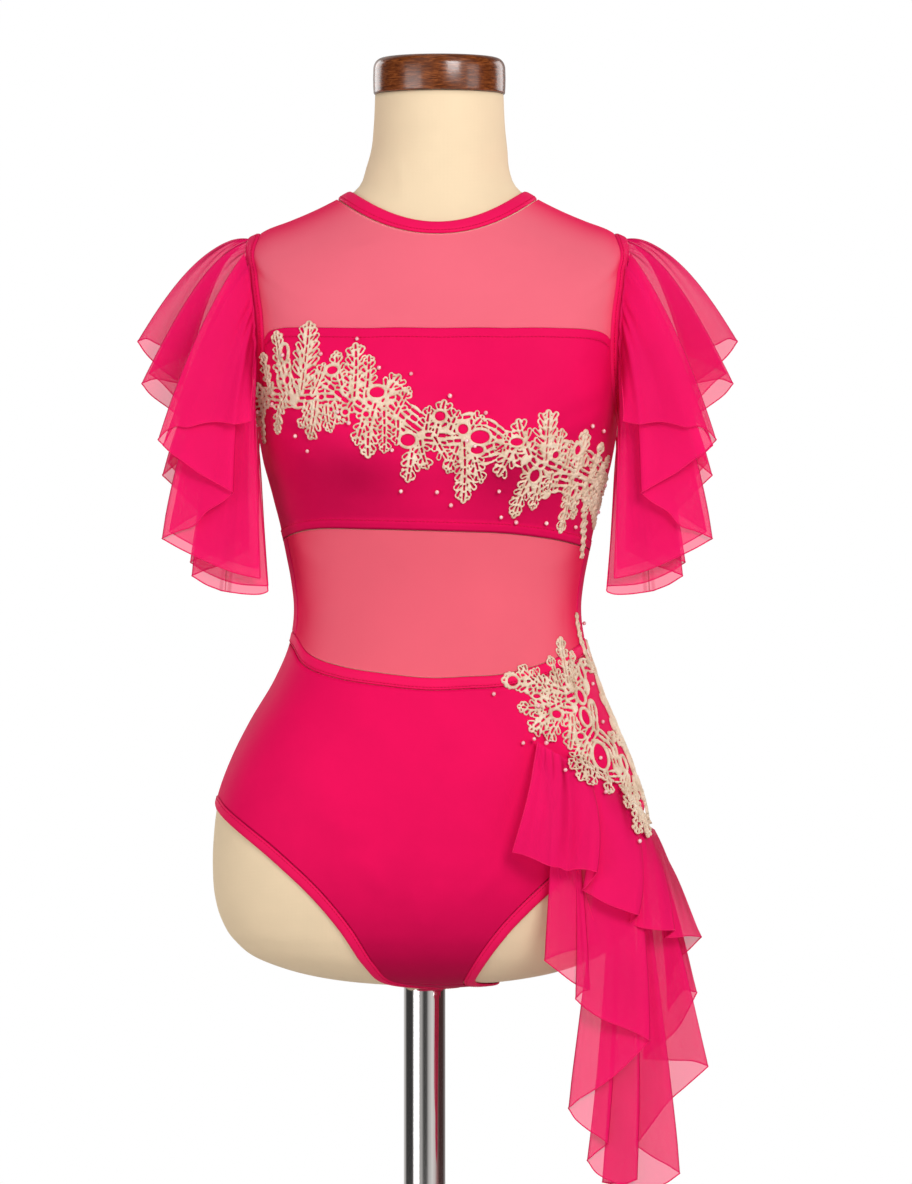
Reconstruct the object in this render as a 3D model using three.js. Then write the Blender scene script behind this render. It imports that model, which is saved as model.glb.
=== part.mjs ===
// Lyrical dance bodysuit on a limbless dress form with a round stand.
// Millimetres, +Z up. Origin: centre of the stand's underside. The front of the costume faces -Y.
// The wearer's right side is at -X, so "L" and "R" in the names are the left and right seen from the front.
import * as THREE from "three";

// ---------- driving sizes ----------
const WALL = 1.2; // stretch jersey and mesh panels
const CLEAR = 0.4; // cloth above the nominal body
const FORM_IN = 5.4; // the form's cover under the nominal body, so that flat facets of cloth stay clear of it
const BIND = 1.8; // folded bindings
const SEAM = 0.3; // gap between neighbouring pieces
const SHEER = 1.0; // chiffon flounces
const LACE = 1.0; // guipure lace
const LACE_OFF = 3.9; // inner face of the lace over the form
const LACE_OVER_DRAPE = 15.8; // the same where the lace covers the gathered top of the drape
const POLE_R = 17;
const BASE_R = 170;
const BASE_H = 14;
const FORM_TOP = 1240;
const CAP_R = 53.9;
const CAP_H = 29.5;
const CENTRE_X = 10.6; // the costume's middle plane: the form sits a little off the pole's axis
const NECK_X = 12.1;

// ---------- the dress form: one row for each level ----------
// level, heights of the ring at the side, front and back, centre x, half width, front and back depth, squareness
const FORM = [
  { level: 485, side: 509.8, front: 509.8, back: 509.8, cx: 0.6, half: 1.0, fore: 1.0, aft: 1.0, sq: 2.0 },
  { level: 490, side: 510.0, front: 510.0, back: 510.0, cx: 0.6, half: 19.0, fore: 19.0, aft: 19.0, sq: 2.0 },
  { level: 500, side: 511.2, front: 511.2, back: 511.2, cx: 0.6, half: 46.0, fore: 30.0, aft: 33.0, sq: 2.1 },
  { level: 510, side: 514.5, front: 514.5, back: 514.5, cx: 1.1, half: 77.0, fore: 43.0, aft: 50.0, sq: 2.2 },
  { level: 520, side: 520.5, front: 520.5, back: 520.5, cx: 1.6, half: 107.0, fore: 56.0, aft: 68.0, sq: 2.2 },
  { level: 531, side: 531, front: 531, back: 531, cx: 1.6, half: 137.0, fore: 69.0, aft: 86.0, sq: 2.25 },
  { level: 547, side: 547, front: 547, back: 547, cx: 2.6, half: 159.0, fore: 81.0, aft: 101.0, sq: 2.3 },
  { level: 564, side: 564, front: 564, back: 564, cx: 3.1, half: 170.0, fore: 89.0, aft: 110.0, sq: 2.3 },
  { level: 583, side: 583, front: 583, back: 583, cx: 3.6, half: 176.0, fore: 95.0, aft: 115.0, sq: 2.3 },
  { level: 605, side: 605, front: 605, back: 605, cx: 4.1, half: 178.3, fore: 99.0, aft: 117.0, sq: 2.3 },
  { level: 630, side: 630, front: 630, back: 630, cx: 4.4, half: 178.0, fore: 101.0, aft: 116.0, sq: 2.3 },
  { level: 662, side: 662, front: 662, back: 662, cx: 4.6, half: 174.0, fore: 102.0, aft: 111.0, sq: 2.3 },
  { level: 695, side: 695, front: 695, back: 695, cx: 5.0, half: 162.8, fore: 101.5, aft: 102.0, sq: 2.3 },
  { level: 727, side: 727, front: 727, back: 727, cx: 6.8, half: 148.6, fore: 99.0, aft: 92.0, sq: 2.3 },
  { level: 760, side: 760, front: 760, back: 760, cx: 9.4, half: 131.6, fore: 94.5, aft: 82.0, sq: 2.25 },
  { level: 793, side: 793, front: 793, back: 793, cx: 10.6, half: 119.4, fore: 90.0, aft: 75.0, sq: 2.2 },
  { level: 818, side: 818, front: 818, back: 818, cx: 10.6, half: 116.3, fore: 88.5, aft: 73.0, sq: 2.2 },
  { level: 842, side: 842, front: 842, back: 842, cx: 10.6, half: 118.6, fore: 90.0, aft: 74.5, sq: 2.2 },
  { level: 863, side: 863, front: 863, back: 863, cx: 10.6, half: 122.6, fore: 93.5, aft: 77.5, sq: 2.2 },
  { level: 884, side: 884, front: 884, back: 884, cx: 10.6, half: 127.0, fore: 98.5, aft: 81.5, sq: 2.2 },
  { level: 908, side: 908, front: 908, back: 908, cx: 10.6, half: 133.0, fore: 105.0, aft: 86.5, sq: 2.25 },
  { level: 941, side: 941, front: 941, back: 941, cx: 10.6, half: 141.8, fore: 113.0, aft: 93.0, sq: 2.3 },
  { level: 965, side: 965, front: 965, back: 965, cx: 10.6, half: 146.0, fore: 115.0, aft: 97.0, sq: 2.4 },
  { level: 990, side: 990, front: 986, back: 990, cx: 10.6, half: 148.0, fore: 113.0, aft: 100.0, sq: 2.6 },
  { level: 1030, side: 1030, front: 1008, back: 1026, cx: 10.6, half: 149.0, fore: 107.0, aft: 102.0, sq: 2.9 },
  { level: 1070, side: 1070, front: 1028, back: 1058, cx: 10.6, half: 150.2, fore: 101.0, aft: 101.0, sq: 3.1 },
  { level: 1105, side: 1105, front: 1048, back: 1084, cx: 10.6, half: 151.2, fore: 96.0, aft: 98.0, sq: 3.1 },
  { level: 1122, side: 1121, front: 1062, back: 1101, cx: 10.6, half: 149.5, fore: 92.5, aft: 95.0, sq: 2.9 },
  { level: 1130, side: 1128.5, front: 1074, back: 1113, cx: 10.6, half: 139.0, fore: 89.5, aft: 91.0, sq: 2.7 },
  { level: 1138, side: 1135.5, front: 1089, back: 1129, cx: 10.6, half: 120.5, fore: 86.0, aft: 85.5, sq: 2.4 },
  { level: 1147, side: 1144.0, front: 1105, back: 1144, cx: 10.6, half: 100.5, fore: 81.5, aft: 78.5, sq: 2.2 },
  { level: 1155, side: 1152.5, front: 1120, back: 1158, cx: 10.6, half: 83.5, fore: 76.0, aft: 71.0, sq: 2.1 },
  { level: 1162, side: 1160.5, front: 1133, back: 1169, cx: 10.6, half: 69.5, fore: 69.0, aft: 65.0, sq: 2.0 },
  { level: 1170, side: 1168.0, front: 1149, back: 1178, cx: 10.6, half: 63.0, fore: 61.5, aft: 61.0, sq: 2.0 },
  { level: 1180, side: 1179.0, front: 1166, back: 1187, cx: 10.6, half: 59.5, fore: 57.5, aft: 59.0, sq: 2.0 },
  { level: 1196, side: 1195, front: 1188, back: 1199, cx: NECK_X, half: 56.5, fore: 55.0, aft: 57.5, sq: 2.0 },
  { level: 1214, side: 1213, front: 1210, back: 1214, cx: NECK_X, half: 54.6, fore: 53.5, aft: 56.0, sq: 2.0 },
  { level: 1240, side: 1240, front: 1240, back: 1240, cx: NECK_X, half: 53.3, fore: 52.5, aft: 55.0, sq: 2.0 },
];
const BUST = { x: 70, z: 952, wide: 42, above: 58, below: 36, high: 13 }; // two soft rises of the form's chest

// ---------- small helpers ----------
const V = (x, y, z) => new THREE.Vector3(x, y, z);
const rad = THREE.MathUtils.degToRad;
const clamp = THREE.MathUtils.clamp;
const mix = THREE.MathUtils.lerp;
const smooth = (x, a, b) => {
  const t = clamp((x - a) / (b - a), 0, 1);
  return t * t * (3 - 2 * t);
};

// Smooth column of a table: Hermite between the rows, tangents from the neighbours.
function column(rows, at, key) {
  const X = rows.map((r) => r[at]);
  const Y = rows.map((r) => r[key]);
  const n = X.length;
  const slope = [];
  for (let i = 0; i + 1 < n; i++) slope.push((Y[i + 1] - Y[i]) / (X[i + 1] - X[i]));
  const tan = Y.map((_, i) => {
    if (i === 0) return slope[0];
    if (i === n - 1) return slope[n - 2];
    const h0 = X[i] - X[i - 1];
    const h1 = X[i + 1] - X[i];
    return (slope[i - 1] * h1 + slope[i] * h0) / (h0 + h1);
  });
  return (x) => {
    const q = clamp(x, X[0], X[n - 1]);
    let i = 0;
    while (i < n - 2 && q >= X[i + 1]) i++;
    const h = X[i + 1] - X[i];
    const u = (q - X[i]) / h;
    const u2 = u * u;
    const u3 = u2 * u;
    return (2 * u3 - 3 * u2 + 1) * Y[i] + (u3 - 2 * u2 + u) * h * tan[i] + (-2 * u3 + 3 * u2) * Y[i + 1] + (u3 - u2) * h * tan[i + 1];
  };
}
// Straight-line column, for jagged outlines.
const straight = (rows, at, key) => (x) => {
  const n = rows.length;
  if (x <= rows[0][at]) return rows[0][key];
  for (let i = 0; i + 1 < n; i++)
    if (x <= rows[i + 1][at]) return mix(rows[i][key], rows[i + 1][key], (x - rows[i][at]) / (rows[i + 1][at] - rows[i][at]));
  return rows[n - 1][key];
};

const F = {};
for (const key of ["side", "front", "back", "cx", "half", "fore", "aft", "sq"]) F[key] = column(FORM, "level", key);

// A point of the form: angle in degrees (270 is the front, 180 the left side), and level.
function formPoint(angle, level) {
  const c = Math.cos(rad(angle));
  const s = Math.sin(rad(angle));
  const half = F.half(level);
  const deep = s < 0 ? F.fore(level) : F.aft(level);
  const n = F.sq(level);
  const r = 1 / Math.pow(Math.pow(Math.abs(c) / half, n) + Math.pow(Math.abs(s) / deep, n), 1 / n);
  const x = r * c;
  const y = r * s;
  const zSide = F.side(level);
  const z = zSide + ((s < 0 ? F.front(level) : F.back(level)) - zSide) * Math.pow(Math.abs(y) / deep, 2);
  const up = z > BUST.z ? BUST.above : BUST.below;
  const rise =
    BUST.high *
    Math.exp(-Math.pow((Math.abs(x) - BUST.x) / BUST.wide, 2)) *
    Math.exp(-Math.pow((z - BUST.z) / up, 2)) *
    clamp(-s * 1.6, 0, 1);
  return V(F.cx(level) + x, y - rise, z);
}
function formNormal(angle, level) {
  const e = 0.4;
  const da = formPoint(angle + e, level).sub(formPoint(angle - e, level));
  const dt = formPoint(angle, level + e).sub(formPoint(angle, level - e));
  return da.cross(dt).normalize();
}
const onForm = (angle, level, off = 0) => formPoint(angle, level).addScaledVector(formNormal(angle, level), off);

// Below the bust the rings are level, so a point can be pushed to the surface from a line inside the form.
function outside(p) {
  const z = clamp(p.z, 509.9, 960);
  // level of that height (the underside's first rings are closer than their levels)
  let lo = 485;
  let hi = 960;
  for (let i = 0; i < 30; i++) {
    const m = (lo + hi) / 2;
    if (F.side(m) < z) lo = m;
    else hi = m;
  }
  const n = F.sq(lo);
  const deep = p.y < 0 ? F.fore(lo) : F.aft(lo);
  return Math.pow(Math.abs(p.x - F.cx(lo)) / F.half(lo), n) + Math.pow(Math.abs(p.y) / deep, n) - 1;
}
function toForm(guess, off) {
  const inner = V(mix(CENTRE_X, guess.x, 0.7), 0, Math.max(guess.z, 606));
  const way = guess.clone().sub(inner).normalize();
  const bad = (d) => {
    const q = inner.clone().addScaledVector(way, d);
    return q.z < 509.85 || outside(q) > 0;
  };
  let lo = 0;
  let hi = 260;
  for (let i = 0; i < 34; i++) {
    const m = (lo + hi) / 2;
    if (bad(m)) hi = m;
    else lo = m;
  }
  const p = inner.clone().addScaledVector(way, lo);
  // normal: away from the surface, by small steps of angle and level at this point
  const g = surfaceNormal(p);
  return p.addScaledVector(g, off);
}
function surfaceNormal(p) {
  if (p.z < 511.5) {
    // the nearly flat underside
    const edge = smooth(p.z, 509.8, 511.5) * 0.12;
    const out = V(p.x - 0.6, p.y * 1.6, 0);
    if (out.length() > 1e-6) out.normalize();
    return V(out.x * edge, out.y * edge, -1).normalize();
  }
  const e = 0.5;
  const g = V(
    outside(V(p.x + e, p.y, p.z)) - outside(V(p.x - e, p.y, p.z)),
    outside(V(p.x, p.y + e, p.z)) - outside(V(p.x, p.y - e, p.z)),
    outside(V(p.x, p.y, p.z + e)) - outside(V(p.x, p.y, p.z - e)),
  );
  return g.normalize();
}

// ---------- meshes ----------
function geometryOf(points, faces) {
  let volume = 0;
  for (const [a, b, c] of faces) volume += points[a].dot(points[b].clone().cross(points[c]));
  const g = new THREE.BufferGeometry();
  g.setAttribute("position", new THREE.Float32BufferAttribute(points.flatMap((p) => [p.x, p.y, p.z]), 3));
  g.setIndex(faces.flatMap(([a, b, c]) => (volume < 0 ? [a, c, b] : [a, b, c])));
  g.computeVertexNormals();
  return g;
}
// A wall between two grids of points: rows [j][i]. round closes the rows on themselves.
function wall(inner, outer, round = false) {
  const rows = inner.length;
  const cols = inner[0].length;
  const points = [...inner.flat(), ...outer.flat()];
  const id = (side, j, i) => side * rows * cols + j * cols + (round ? i % cols : i);
  const faces = [];
  const quad = (a, b, c, d) => faces.push([a, b, c], [a, c, d]);
  const last = round ? cols : cols - 1;
  for (let j = 0; j + 1 < rows; j++)
    for (let i = 0; i < last; i++) {
      quad(id(1, j, i), id(1, j, i + 1), id(1, j + 1, i + 1), id(1, j + 1, i));
      quad(id(0, j, i), id(0, j + 1, i), id(0, j + 1, i + 1), id(0, j, i + 1));
    }
  for (let i = 0; i < last; i++) {
    quad(id(0, 0, i), id(0, 0, i + 1), id(1, 0, i + 1), id(1, 0, i));
    quad(id(0, rows - 1, i + 1), id(0, rows - 1, i), id(1, rows - 1, i), id(1, rows - 1, i + 1));
  }
  if (!round)
    for (let j = 0; j + 1 < rows; j++) {
      quad(id(0, j + 1, 0), id(0, j, 0), id(1, j, 0), id(1, j + 1, 0));
      quad(id(0, j, cols - 1), id(0, j + 1, cols - 1), id(1, j + 1, cols - 1), id(1, j, cols - 1));
    }
  return geometryOf(points, faces);
}
// A panel that follows the form: at(u, v) gives [angle, level].
function panel(cols, rows, at, { from = CLEAR, to = CLEAR + WALL, round = false } = {}) {
  const grid = (off) => {
    const out = [];
    for (let j = 0; j <= rows; j++) {
      const line = [];
      for (let i = 0; i < (round ? cols : cols + 1); i++) {
        const [a, t] = at(i / cols, j / rows);
        line.push(onForm(a, t, typeof off === "function" ? off(a, t) : off));
      }
      out.push(line);
    }
    return out;
  };
  return wall(grid(from), grid(to), round);
}
// A thin sheet through a grid of middle points.
function sheet(mid, thick) {
  const rows = mid.length;
  const cols = mid[0].length;
  const side = (sign) =>
    mid.map((line, j) =>
      line.map((p, i) => {
        const du = mid[j][Math.min(i + 1, cols - 1)].clone().sub(mid[j][Math.max(i - 1, 0)]);
        const dv = mid[Math.min(j + 1, rows - 1)][i].clone().sub(mid[Math.max(j - 1, 0)][i]);
        return p.clone().addScaledVector(du.cross(dv).normalize(), (sign * thick) / 2);
      }),
    );
  return wall(side(-1), side(1));
}

const group = new THREE.Group();
function add(name, geometry, { color, roughness, metalness = 0, opacity = 1 }) {
  const mesh = new THREE.Mesh(
    geometry,
    new THREE.MeshStandardMaterial({ color, roughness, metalness, opacity, transparent: opacity < 1, side: THREE.DoubleSide }),
  );
  mesh.name = name;
  group.add(mesh);
  return mesh;
}
const JERSEY = { color: 0xe4175a, roughness: 0.55 };
const MESH = { color: 0xf57084, roughness: 0.7, opacity: 0.8 };
const CHIFFON = { color: 0xee1a62, roughness: 0.5, opacity: 0.75 };
const GUIPURE = { color: 0xe1cdaf, roughness: 0.7 };
const COVER = { color: 0xe9d2ab, roughness: 0.85 };
const WOOD = { color: 0x6e3a1a, roughness: 0.3 };
const CHROME = { color: 0xc9c6c6, roughness: 0.12, metalness: 1 };

// ---------- stand, form and neck cap ----------
{
  const levels = FORM.map((r) => r.level).filter((t, i) => i > 1);
  const around = 40;
  const rings = levels.map((t) => Array.from({ length: around }, (_, i) => onForm((i * 360) / around, t, -FORM_IN * (1 - smooth(t, 1158, 1172)))));
  const points = rings.flat();
  const bottom = points.push(V(0.6, 0, 509.8 + FORM_IN)) - 1;
  const top = points.push(V(NECK_X, -1, FORM_TOP)) - 1;
  const faces = [];
  for (let j = 0; j + 1 < rings.length; j++)
    for (let i = 0; i < around; i++) {
      const a = j * around + i;
      const b = j * around + ((i + 1) % around);
      faces.push([a, b, b + around], [a, b + around, a + around]);
    }
  const lastRing = (rings.length - 1) * around;
  for (let i = 0; i < around; i++) {
    faces.push([bottom, (i + 1) % around, i]);
    faces.push([top, lastRing + i, lastRing + ((i + 1) % around)]);
  }
  add("form_torso", geometryOf(points, faces), COVER);
}
const lathe = (rows, segments = 48) => {
  const g = new THREE.LatheGeometry(rows.map((r) => new THREE.Vector2(r.r, r.z)), segments);
  g.rotateX(Math.PI / 2);
  return g;
};
{
  const z0 = FORM_TOP + SEAM;
  const cap = lathe([
    { r: 0, z: z0 }, { r: CAP_R - 1.5, z: z0 }, { r: CAP_R, z: z0 + 1.5 }, { r: CAP_R + 0.4, z: z0 + 12 },
    { r: CAP_R, z: z0 + CAP_H - 9 }, { r: CAP_R - 1.6, z: z0 + CAP_H - 5 }, { r: CAP_R - 5, z: z0 + CAP_H - 2 },
    { r: CAP_R - 11, z: z0 + CAP_H - 0.5 }, { r: CAP_R - 22, z: z0 + CAP_H }, { r: 0, z: z0 + CAP_H },
  ]);
  cap.translate(NECK_X, -1, 0);
  add("neck_cap", cap, WOOD);
  add("pole", lathe([
    { r: 0, z: BASE_H + SEAM }, { r: POLE_R, z: BASE_H + SEAM }, { r: POLE_R, z: 511.3 }, { r: 0, z: 511.3 },
  ], 40), CHROME);
  add("pole_collar", lathe([
    { r: POLE_R + SEAM, z: BASE_H + SEAM }, { r: 30, z: BASE_H + SEAM }, { r: 30, z: BASE_H + 14 }, { r: 26, z: BASE_H + 22 },
    { r: POLE_R + 3, z: BASE_H + 26 }, { r: POLE_R + SEAM, z: BASE_H + 26 }, { r: POLE_R + SEAM, z: BASE_H + SEAM },
  ], 40), CHROME);
  add("base", lathe([
    { r: 0, z: 0 }, { r: BASE_R - 2, z: 0 }, { r: BASE_R, z: 2 }, { r: BASE_R, z: 6 }, { r: BASE_R - 4, z: 9.5 },
    { r: BASE_R - 30, z: BASE_H }, { r: 0, z: BASE_H },
  ], 64), CHROME);
}

// ---------- seams and edges of the body, as angle and level ----------
const NECK_EDGE = 1161.4; // free edge of the neck binding
const NECK_SEAM = 1156; // its seam with the yokes
const SIDE_GAP = 0.12; // half a side or shoulder seam, in degrees
// Armhole: a rounded loop about each side. reach is in degrees towards the front and back, high and low are levels.
const ARMHOLE = {
  seam: { front: 23, back: 22, high: 1126.5, low: 968, off: CLEAR },
  free: { front: 17, back: 16.5, high: 1120, low: 976, off: 4.2 },
};
const BUST_TOP = [
  { angle: 203, level: 1046 }, { angle: 206, level: 1057 }, { angle: 212, level: 1070.5 }, { angle: 224, level: 1088 }, { angle: 244, level: 1098.7 },
  { angle: 271, level: 1100 }, { angle: 297, level: 1098.5 }, { angle: 314, level: 1090 }, { angle: 326, level: 1072 }, { angle: 333, level: 1057 }, { angle: 337, level: 1046 },
];
const BUST_BOTTOM = [
  { angle: 180, level: 874 }, { angle: 196, level: 878.5 }, { angle: 212, level: 883 }, { angle: 240, level: 883 }, { angle: 260, level: 882 },
  { angle: 281, level: 881 }, { angle: 301, level: 879.7 }, { angle: 321, level: 875.7 }, { angle: 341, level: 870 }, { angle: 360, level: 866 },
];
const BACK_YOKE_EDGE = [
  { angle: 20, level: 1046 }, { angle: 40, level: 1062 }, { angle: 65, level: 1069 }, { angle: 90, level: 1071 },
  { angle: 115, level: 1069 }, { angle: 140, level: 1062 }, { angle: 160, level: 1046 },
];
const WAIST = [
  { angle: 180, level: 801 }, { angle: 195, level: 795.5 }, { angle: 206, level: 783.5 }, { angle: 226, level: 772 }, { angle: 244, level: 767 },
  { angle: 269, level: 763.2 }, { angle: 285, level: 764.3 }, { angle: 300, level: 765.8 }, { angle: 320, level: 774.6 }, { angle: 339, level: 786.5 }, { angle: 360, level: 796 },
];
const WAIST_WIDE = 9.8;
const BACK_WAIST = 800;
const bustTop = column(BUST_TOP, "angle", "level");
const bustBottom = column(BUST_BOTTOM, "angle", "level");
const backYokeEdge = column(BACK_YOKE_EDGE, "angle", "level");
const waist = column(WAIST, "angle", "level");

// Armhole loop: turn 0 is the shoulder, 90 the front, 180 the underarm. side -1 is the left (-X) one.
function armhole(loop, turn, side) {
  const s = Math.sin(rad(turn));
  const c = Math.cos(rad(turn));
  const reach = (s > 0 ? loop.front : loop.back) * Math.sign(s) * Math.pow(Math.abs(s), 0.62);
  const level = (loop.high + loop.low) / 2 + ((loop.high - loop.low) / 2) * c;
  return side < 0 ? [180 + reach, level] : [360 - reach, level];
}
// Levels of the armhole seam over the front or back, for an angle of reach.
function armLevel(reach, span, upper, grow) {
  const s = Math.pow(clamp(reach / span, 0, 1), 1 / 0.62);
  const c = Math.sqrt(Math.max(0, 1 - s * s)) * (upper ? 1 : -1);
  const mid = (ARMHOLE.seam.high + ARMHOLE.seam.low) / 2;
  const half = (ARMHOLE.seam.high - ARMHOLE.seam.low) / 2 + grow;
  return mid + half * c;
}
// Angle that splits the ring of the chest between two angles in even lengths.
const ringLength = (() => {
  const sums = [0];
  for (let a = 1; a <= 360; a++) sums.push(sums[a - 1] + formPoint(a, 1046).distanceTo(formPoint(a - 1, 1046)));
  return sums;
})();
function evenAngle(start, end, u) {
  const at = (a) => mix(ringLength[Math.floor(a)], ringLength[Math.min(360, Math.floor(a) + 1)], a - Math.floor(a));
  const want = mix(at(start), at(end), u);
  let lo = start;
  let hi = end;
  for (let i = 0; i < 40; i++) {
    const m = (lo + hi) / 2;
    if (at(m) < want) lo = m;
    else hi = m;
  }
  return lo;
}
// Columns of an upper panel: dense round the armholes. Returns an angle for u in 0..1.
function columnsAt(u, start, end, span, part) {
  const turn = (k) => span * Math.pow(Math.sin((k * Math.PI) / 2), 0.62 * 1.0);
  if (u < part) return start + turn(u / part);
  if (u > 1 - part) return end - turn((1 - u) / part);
  return evenAngle(start + span, end - span, (u - part) / (1 - 2 * part));
}
const ARM_GAP = 0.5; // levels kept between a panel and the armhole band
function upperPanel({ start, end, span, cols, rows, part, top, bottom }) {
  return panel(cols, rows, (u, v) => {
    const a = columnsAt(u, start + SIDE_GAP, end - SIDE_GAP, span + 0.35, part);
    return [a, mix(bottom(a), top(a), v)];
  });
}
const reachOf = (a, start, end) => Math.min(a - start, end - a);
const armTop = (start, end, span) => (a) => armLevel(reachOf(a, start, end), span + 0.35, true, ARM_GAP);
const armLow = (start, end, span) => (a) => armLevel(reachOf(a, start, end), span + 0.35, false, ARM_GAP);

const ARM_COLS = 4; // columns of a quarter armhole, as in its band
const FRONT = { start: 180, end: 360, span: 23, cols: 18, rows: 6, part: ARM_COLS / 18 };
const BACK = { start: 0, end: 180, span: 22, cols: 18, rows: 5, part: ARM_COLS / 18 };
add("front_yoke", upperPanel({
  ...FRONT,
  top: () => NECK_SEAM - 0.4,
  bottom: (a) => (reachOf(a, 180, 360) <= 23.35 ? armTop(180, 360, 23)(a) : bustTop(a) + SEAM),
}), MESH);
add("back_yoke", upperPanel({
  ...BACK,
  top: () => NECK_SEAM - 0.4,
  bottom: (a) => (reachOf(a, 0, 180) <= 22.35 ? armTop(0, 180, 22)(a) : backYokeEdge(a) + SEAM),
}), MESH);
add("bust_band", upperPanel({
  ...FRONT,
  rows: 7,
  top: (a) => (reachOf(a, 180, 360) <= 23.35 ? armLow(180, 360, 23)(a) : bustTop(a) - SEAM),
  bottom: (a) => bustBottom(a) + SEAM,
}), JERSEY);
add("back_bodice", upperPanel({
  ...BACK,
  rows: 6,
  top: (a) => (reachOf(a, 0, 180) <= 22.35 ? armLow(0, 180, 22)(a) : backYokeEdge(a) - SEAM),
  bottom: () => BACK_WAIST + SEAM / 2,
}), JERSEY);
// The columns of the front below the bust, shared by all pieces that meet there.
const FRONT_AT = [0, 1, 4, 5, 6, 7, 8, 9, 10, 11, 12, 13, 14, 17, 18].map((k) =>
  columnsAt(k / FRONT.cols, 180 + SIDE_GAP, 360 - SIDE_GAP, FRONT.span + 0.35, FRONT.part));
const MESH_GAP = 0.1; // half the gap beside the mesh, in degrees
const between = (from, to, trimFrom, trimTo) => FRONT_AT.slice(from, to + 1).map((a, i, all) =>
  a + (i === 0 ? trimFrom : 0) - (i === all.length - 1 ? trimTo : 0));
const middle = (angles, rows) => panel(angles.length - 1, rows, (u, v) => {
  const a = angles[Math.round(u * (angles.length - 1))];
  return [a, mix(waist(a) + SEAM, bustBottom(a) - SEAM, v)];
});
const last = FRONT_AT.length - 1;
add("midriff_mesh", middle(between(1, last - 1, MESH_GAP, MESH_GAP), 5), MESH);
add("side_strip_L", middle(between(0, 1, 0, MESH_GAP), 5), JERSEY);
add("side_strip_R", middle(between(last - 1, last, MESH_GAP, 0), 5), JERSEY);

// ---------- bindings ----------
const binding = { from: CLEAR, to: CLEAR + BIND };
add("neck_binding", panel(36, 1, (u, v) => [u * 360, mix(NECK_SEAM + 0.1, NECK_EDGE, v)], { ...binding, round: true }), JERSEY);
for (const [tag, side] of [["L", -1], ["R", 1]]) {
  const cols = 4 * ARM_COLS;
  const ring = (loop, off) =>
    Array.from({ length: cols }, (_, i) => {
      const [a, t] = armhole(loop, (i * 360) / cols, side);
      return onForm(a, t, off);
    });
  add(`armhole_band_${tag}`, wall(
    [ring(ARMHOLE.seam, CLEAR), ring(ARMHOLE.free, ARMHOLE.free.off)],
    [ring(ARMHOLE.seam, CLEAR + BIND), ring(ARMHOLE.free, ARMHOLE.free.off + BIND)],
    true,
  ), JERSEY);
}
add("waist_binding", panel(last, 1, (u, v) => {
  const a = FRONT_AT[Math.round(u * last)];
  return [a, waist(a) - WAIST_WIDE * (1 - v)];
}, binding), JERSEY);

// ---------- the brief ----------
// Leg opening, one row for each station from the side, over the front, under the form and up the back.
// x and z or y place the station; the form's surface gives the rest. The strip between the legs passes beside the pole.
const LEG = [
  { at: "side", lx: -172, rx: 181, y: 0, z: 657 },
  { at: "hip", lx: -162, rx: 171, y: -45, z: 646 },
  { at: "groin", lx: -128, rx: 136, y: -77, z: 619 },
  { at: "front", lx: -93, rx: 99, y: -87, z: 587 },
  { at: "low", lx: -67, rx: 68, y: -82, z: 556 },
  { at: "turn", lx: -50, rx: 49, y: -66, z: 530 },
  { at: "seam1", lx: -33, rx: 42, y: -42, z: 513 },
  { at: "pole1", lx: 4, rx: 56, y: -20, z: 509 },
  { at: "pole2", lx: 21, rx: 62, y: 0, z: 509 },
  { at: "pole3", lx: 10, rx: 58, y: 20, z: 509 },
  { at: "seam2", lx: -34, rx: 44, y: 50, z: 513 },
  { at: "seat", lx: -66, rx: 68, y: 84, z: 534 },
  { at: "rise", lx: -106, rx: 112, y: 100, z: 566 },
  { at: "rear", lx: -142, rx: 150, y: 78, z: 606 },
  { at: "back", lx: -165, rx: 174, y: 40, z: 640 },
];
const legCurve = (key) =>
  new THREE.CatmullRomCurve3(LEG.map((r) => V(r[key], r.y, r.z)), true, "centripetal");
const legs = { L: legCurve("lx"), R: legCurve("rx") };
// a point of the leg edge, moved in over the cloth by w, and out from the form by off
function legPoint(tag, u, w, off) {
  const curve = legs[tag];
  const at = (q) => toForm(curve.getPoint(((q % 1) + 1) % 1), 0);
  const p = at(u);
  const along = at(u + 0.004).sub(at(u - 0.004)).normalize();
  const n = surfaceNormal(p);
  const inward = n.clone().cross(along).multiplyScalar(tag === "L" ? 1 : -1);
  return toForm(p.addScaledVector(inward, w), off);
}
const LEG_WIDE = 9.5;
const LEG_COLS = 30; // stations of a leg edge, shared by the binding and the cloth
for (const tag of ["L", "R"]) {
  const cols = LEG_COLS;
  const ring = (w, off) => Array.from({ length: cols }, (_, i) => legPoint(tag, i / cols, w, off));
  add(`leg_binding_${tag}`, wall([ring(0, CLEAR), ring(LEG_WIDE, CLEAR)], [ring(0, CLEAR + BIND), ring(LEG_WIDE, CLEAR + BIND)], true), JERSEY);
}
const LEG_IN = LEG_WIDE + 0.45;
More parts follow.
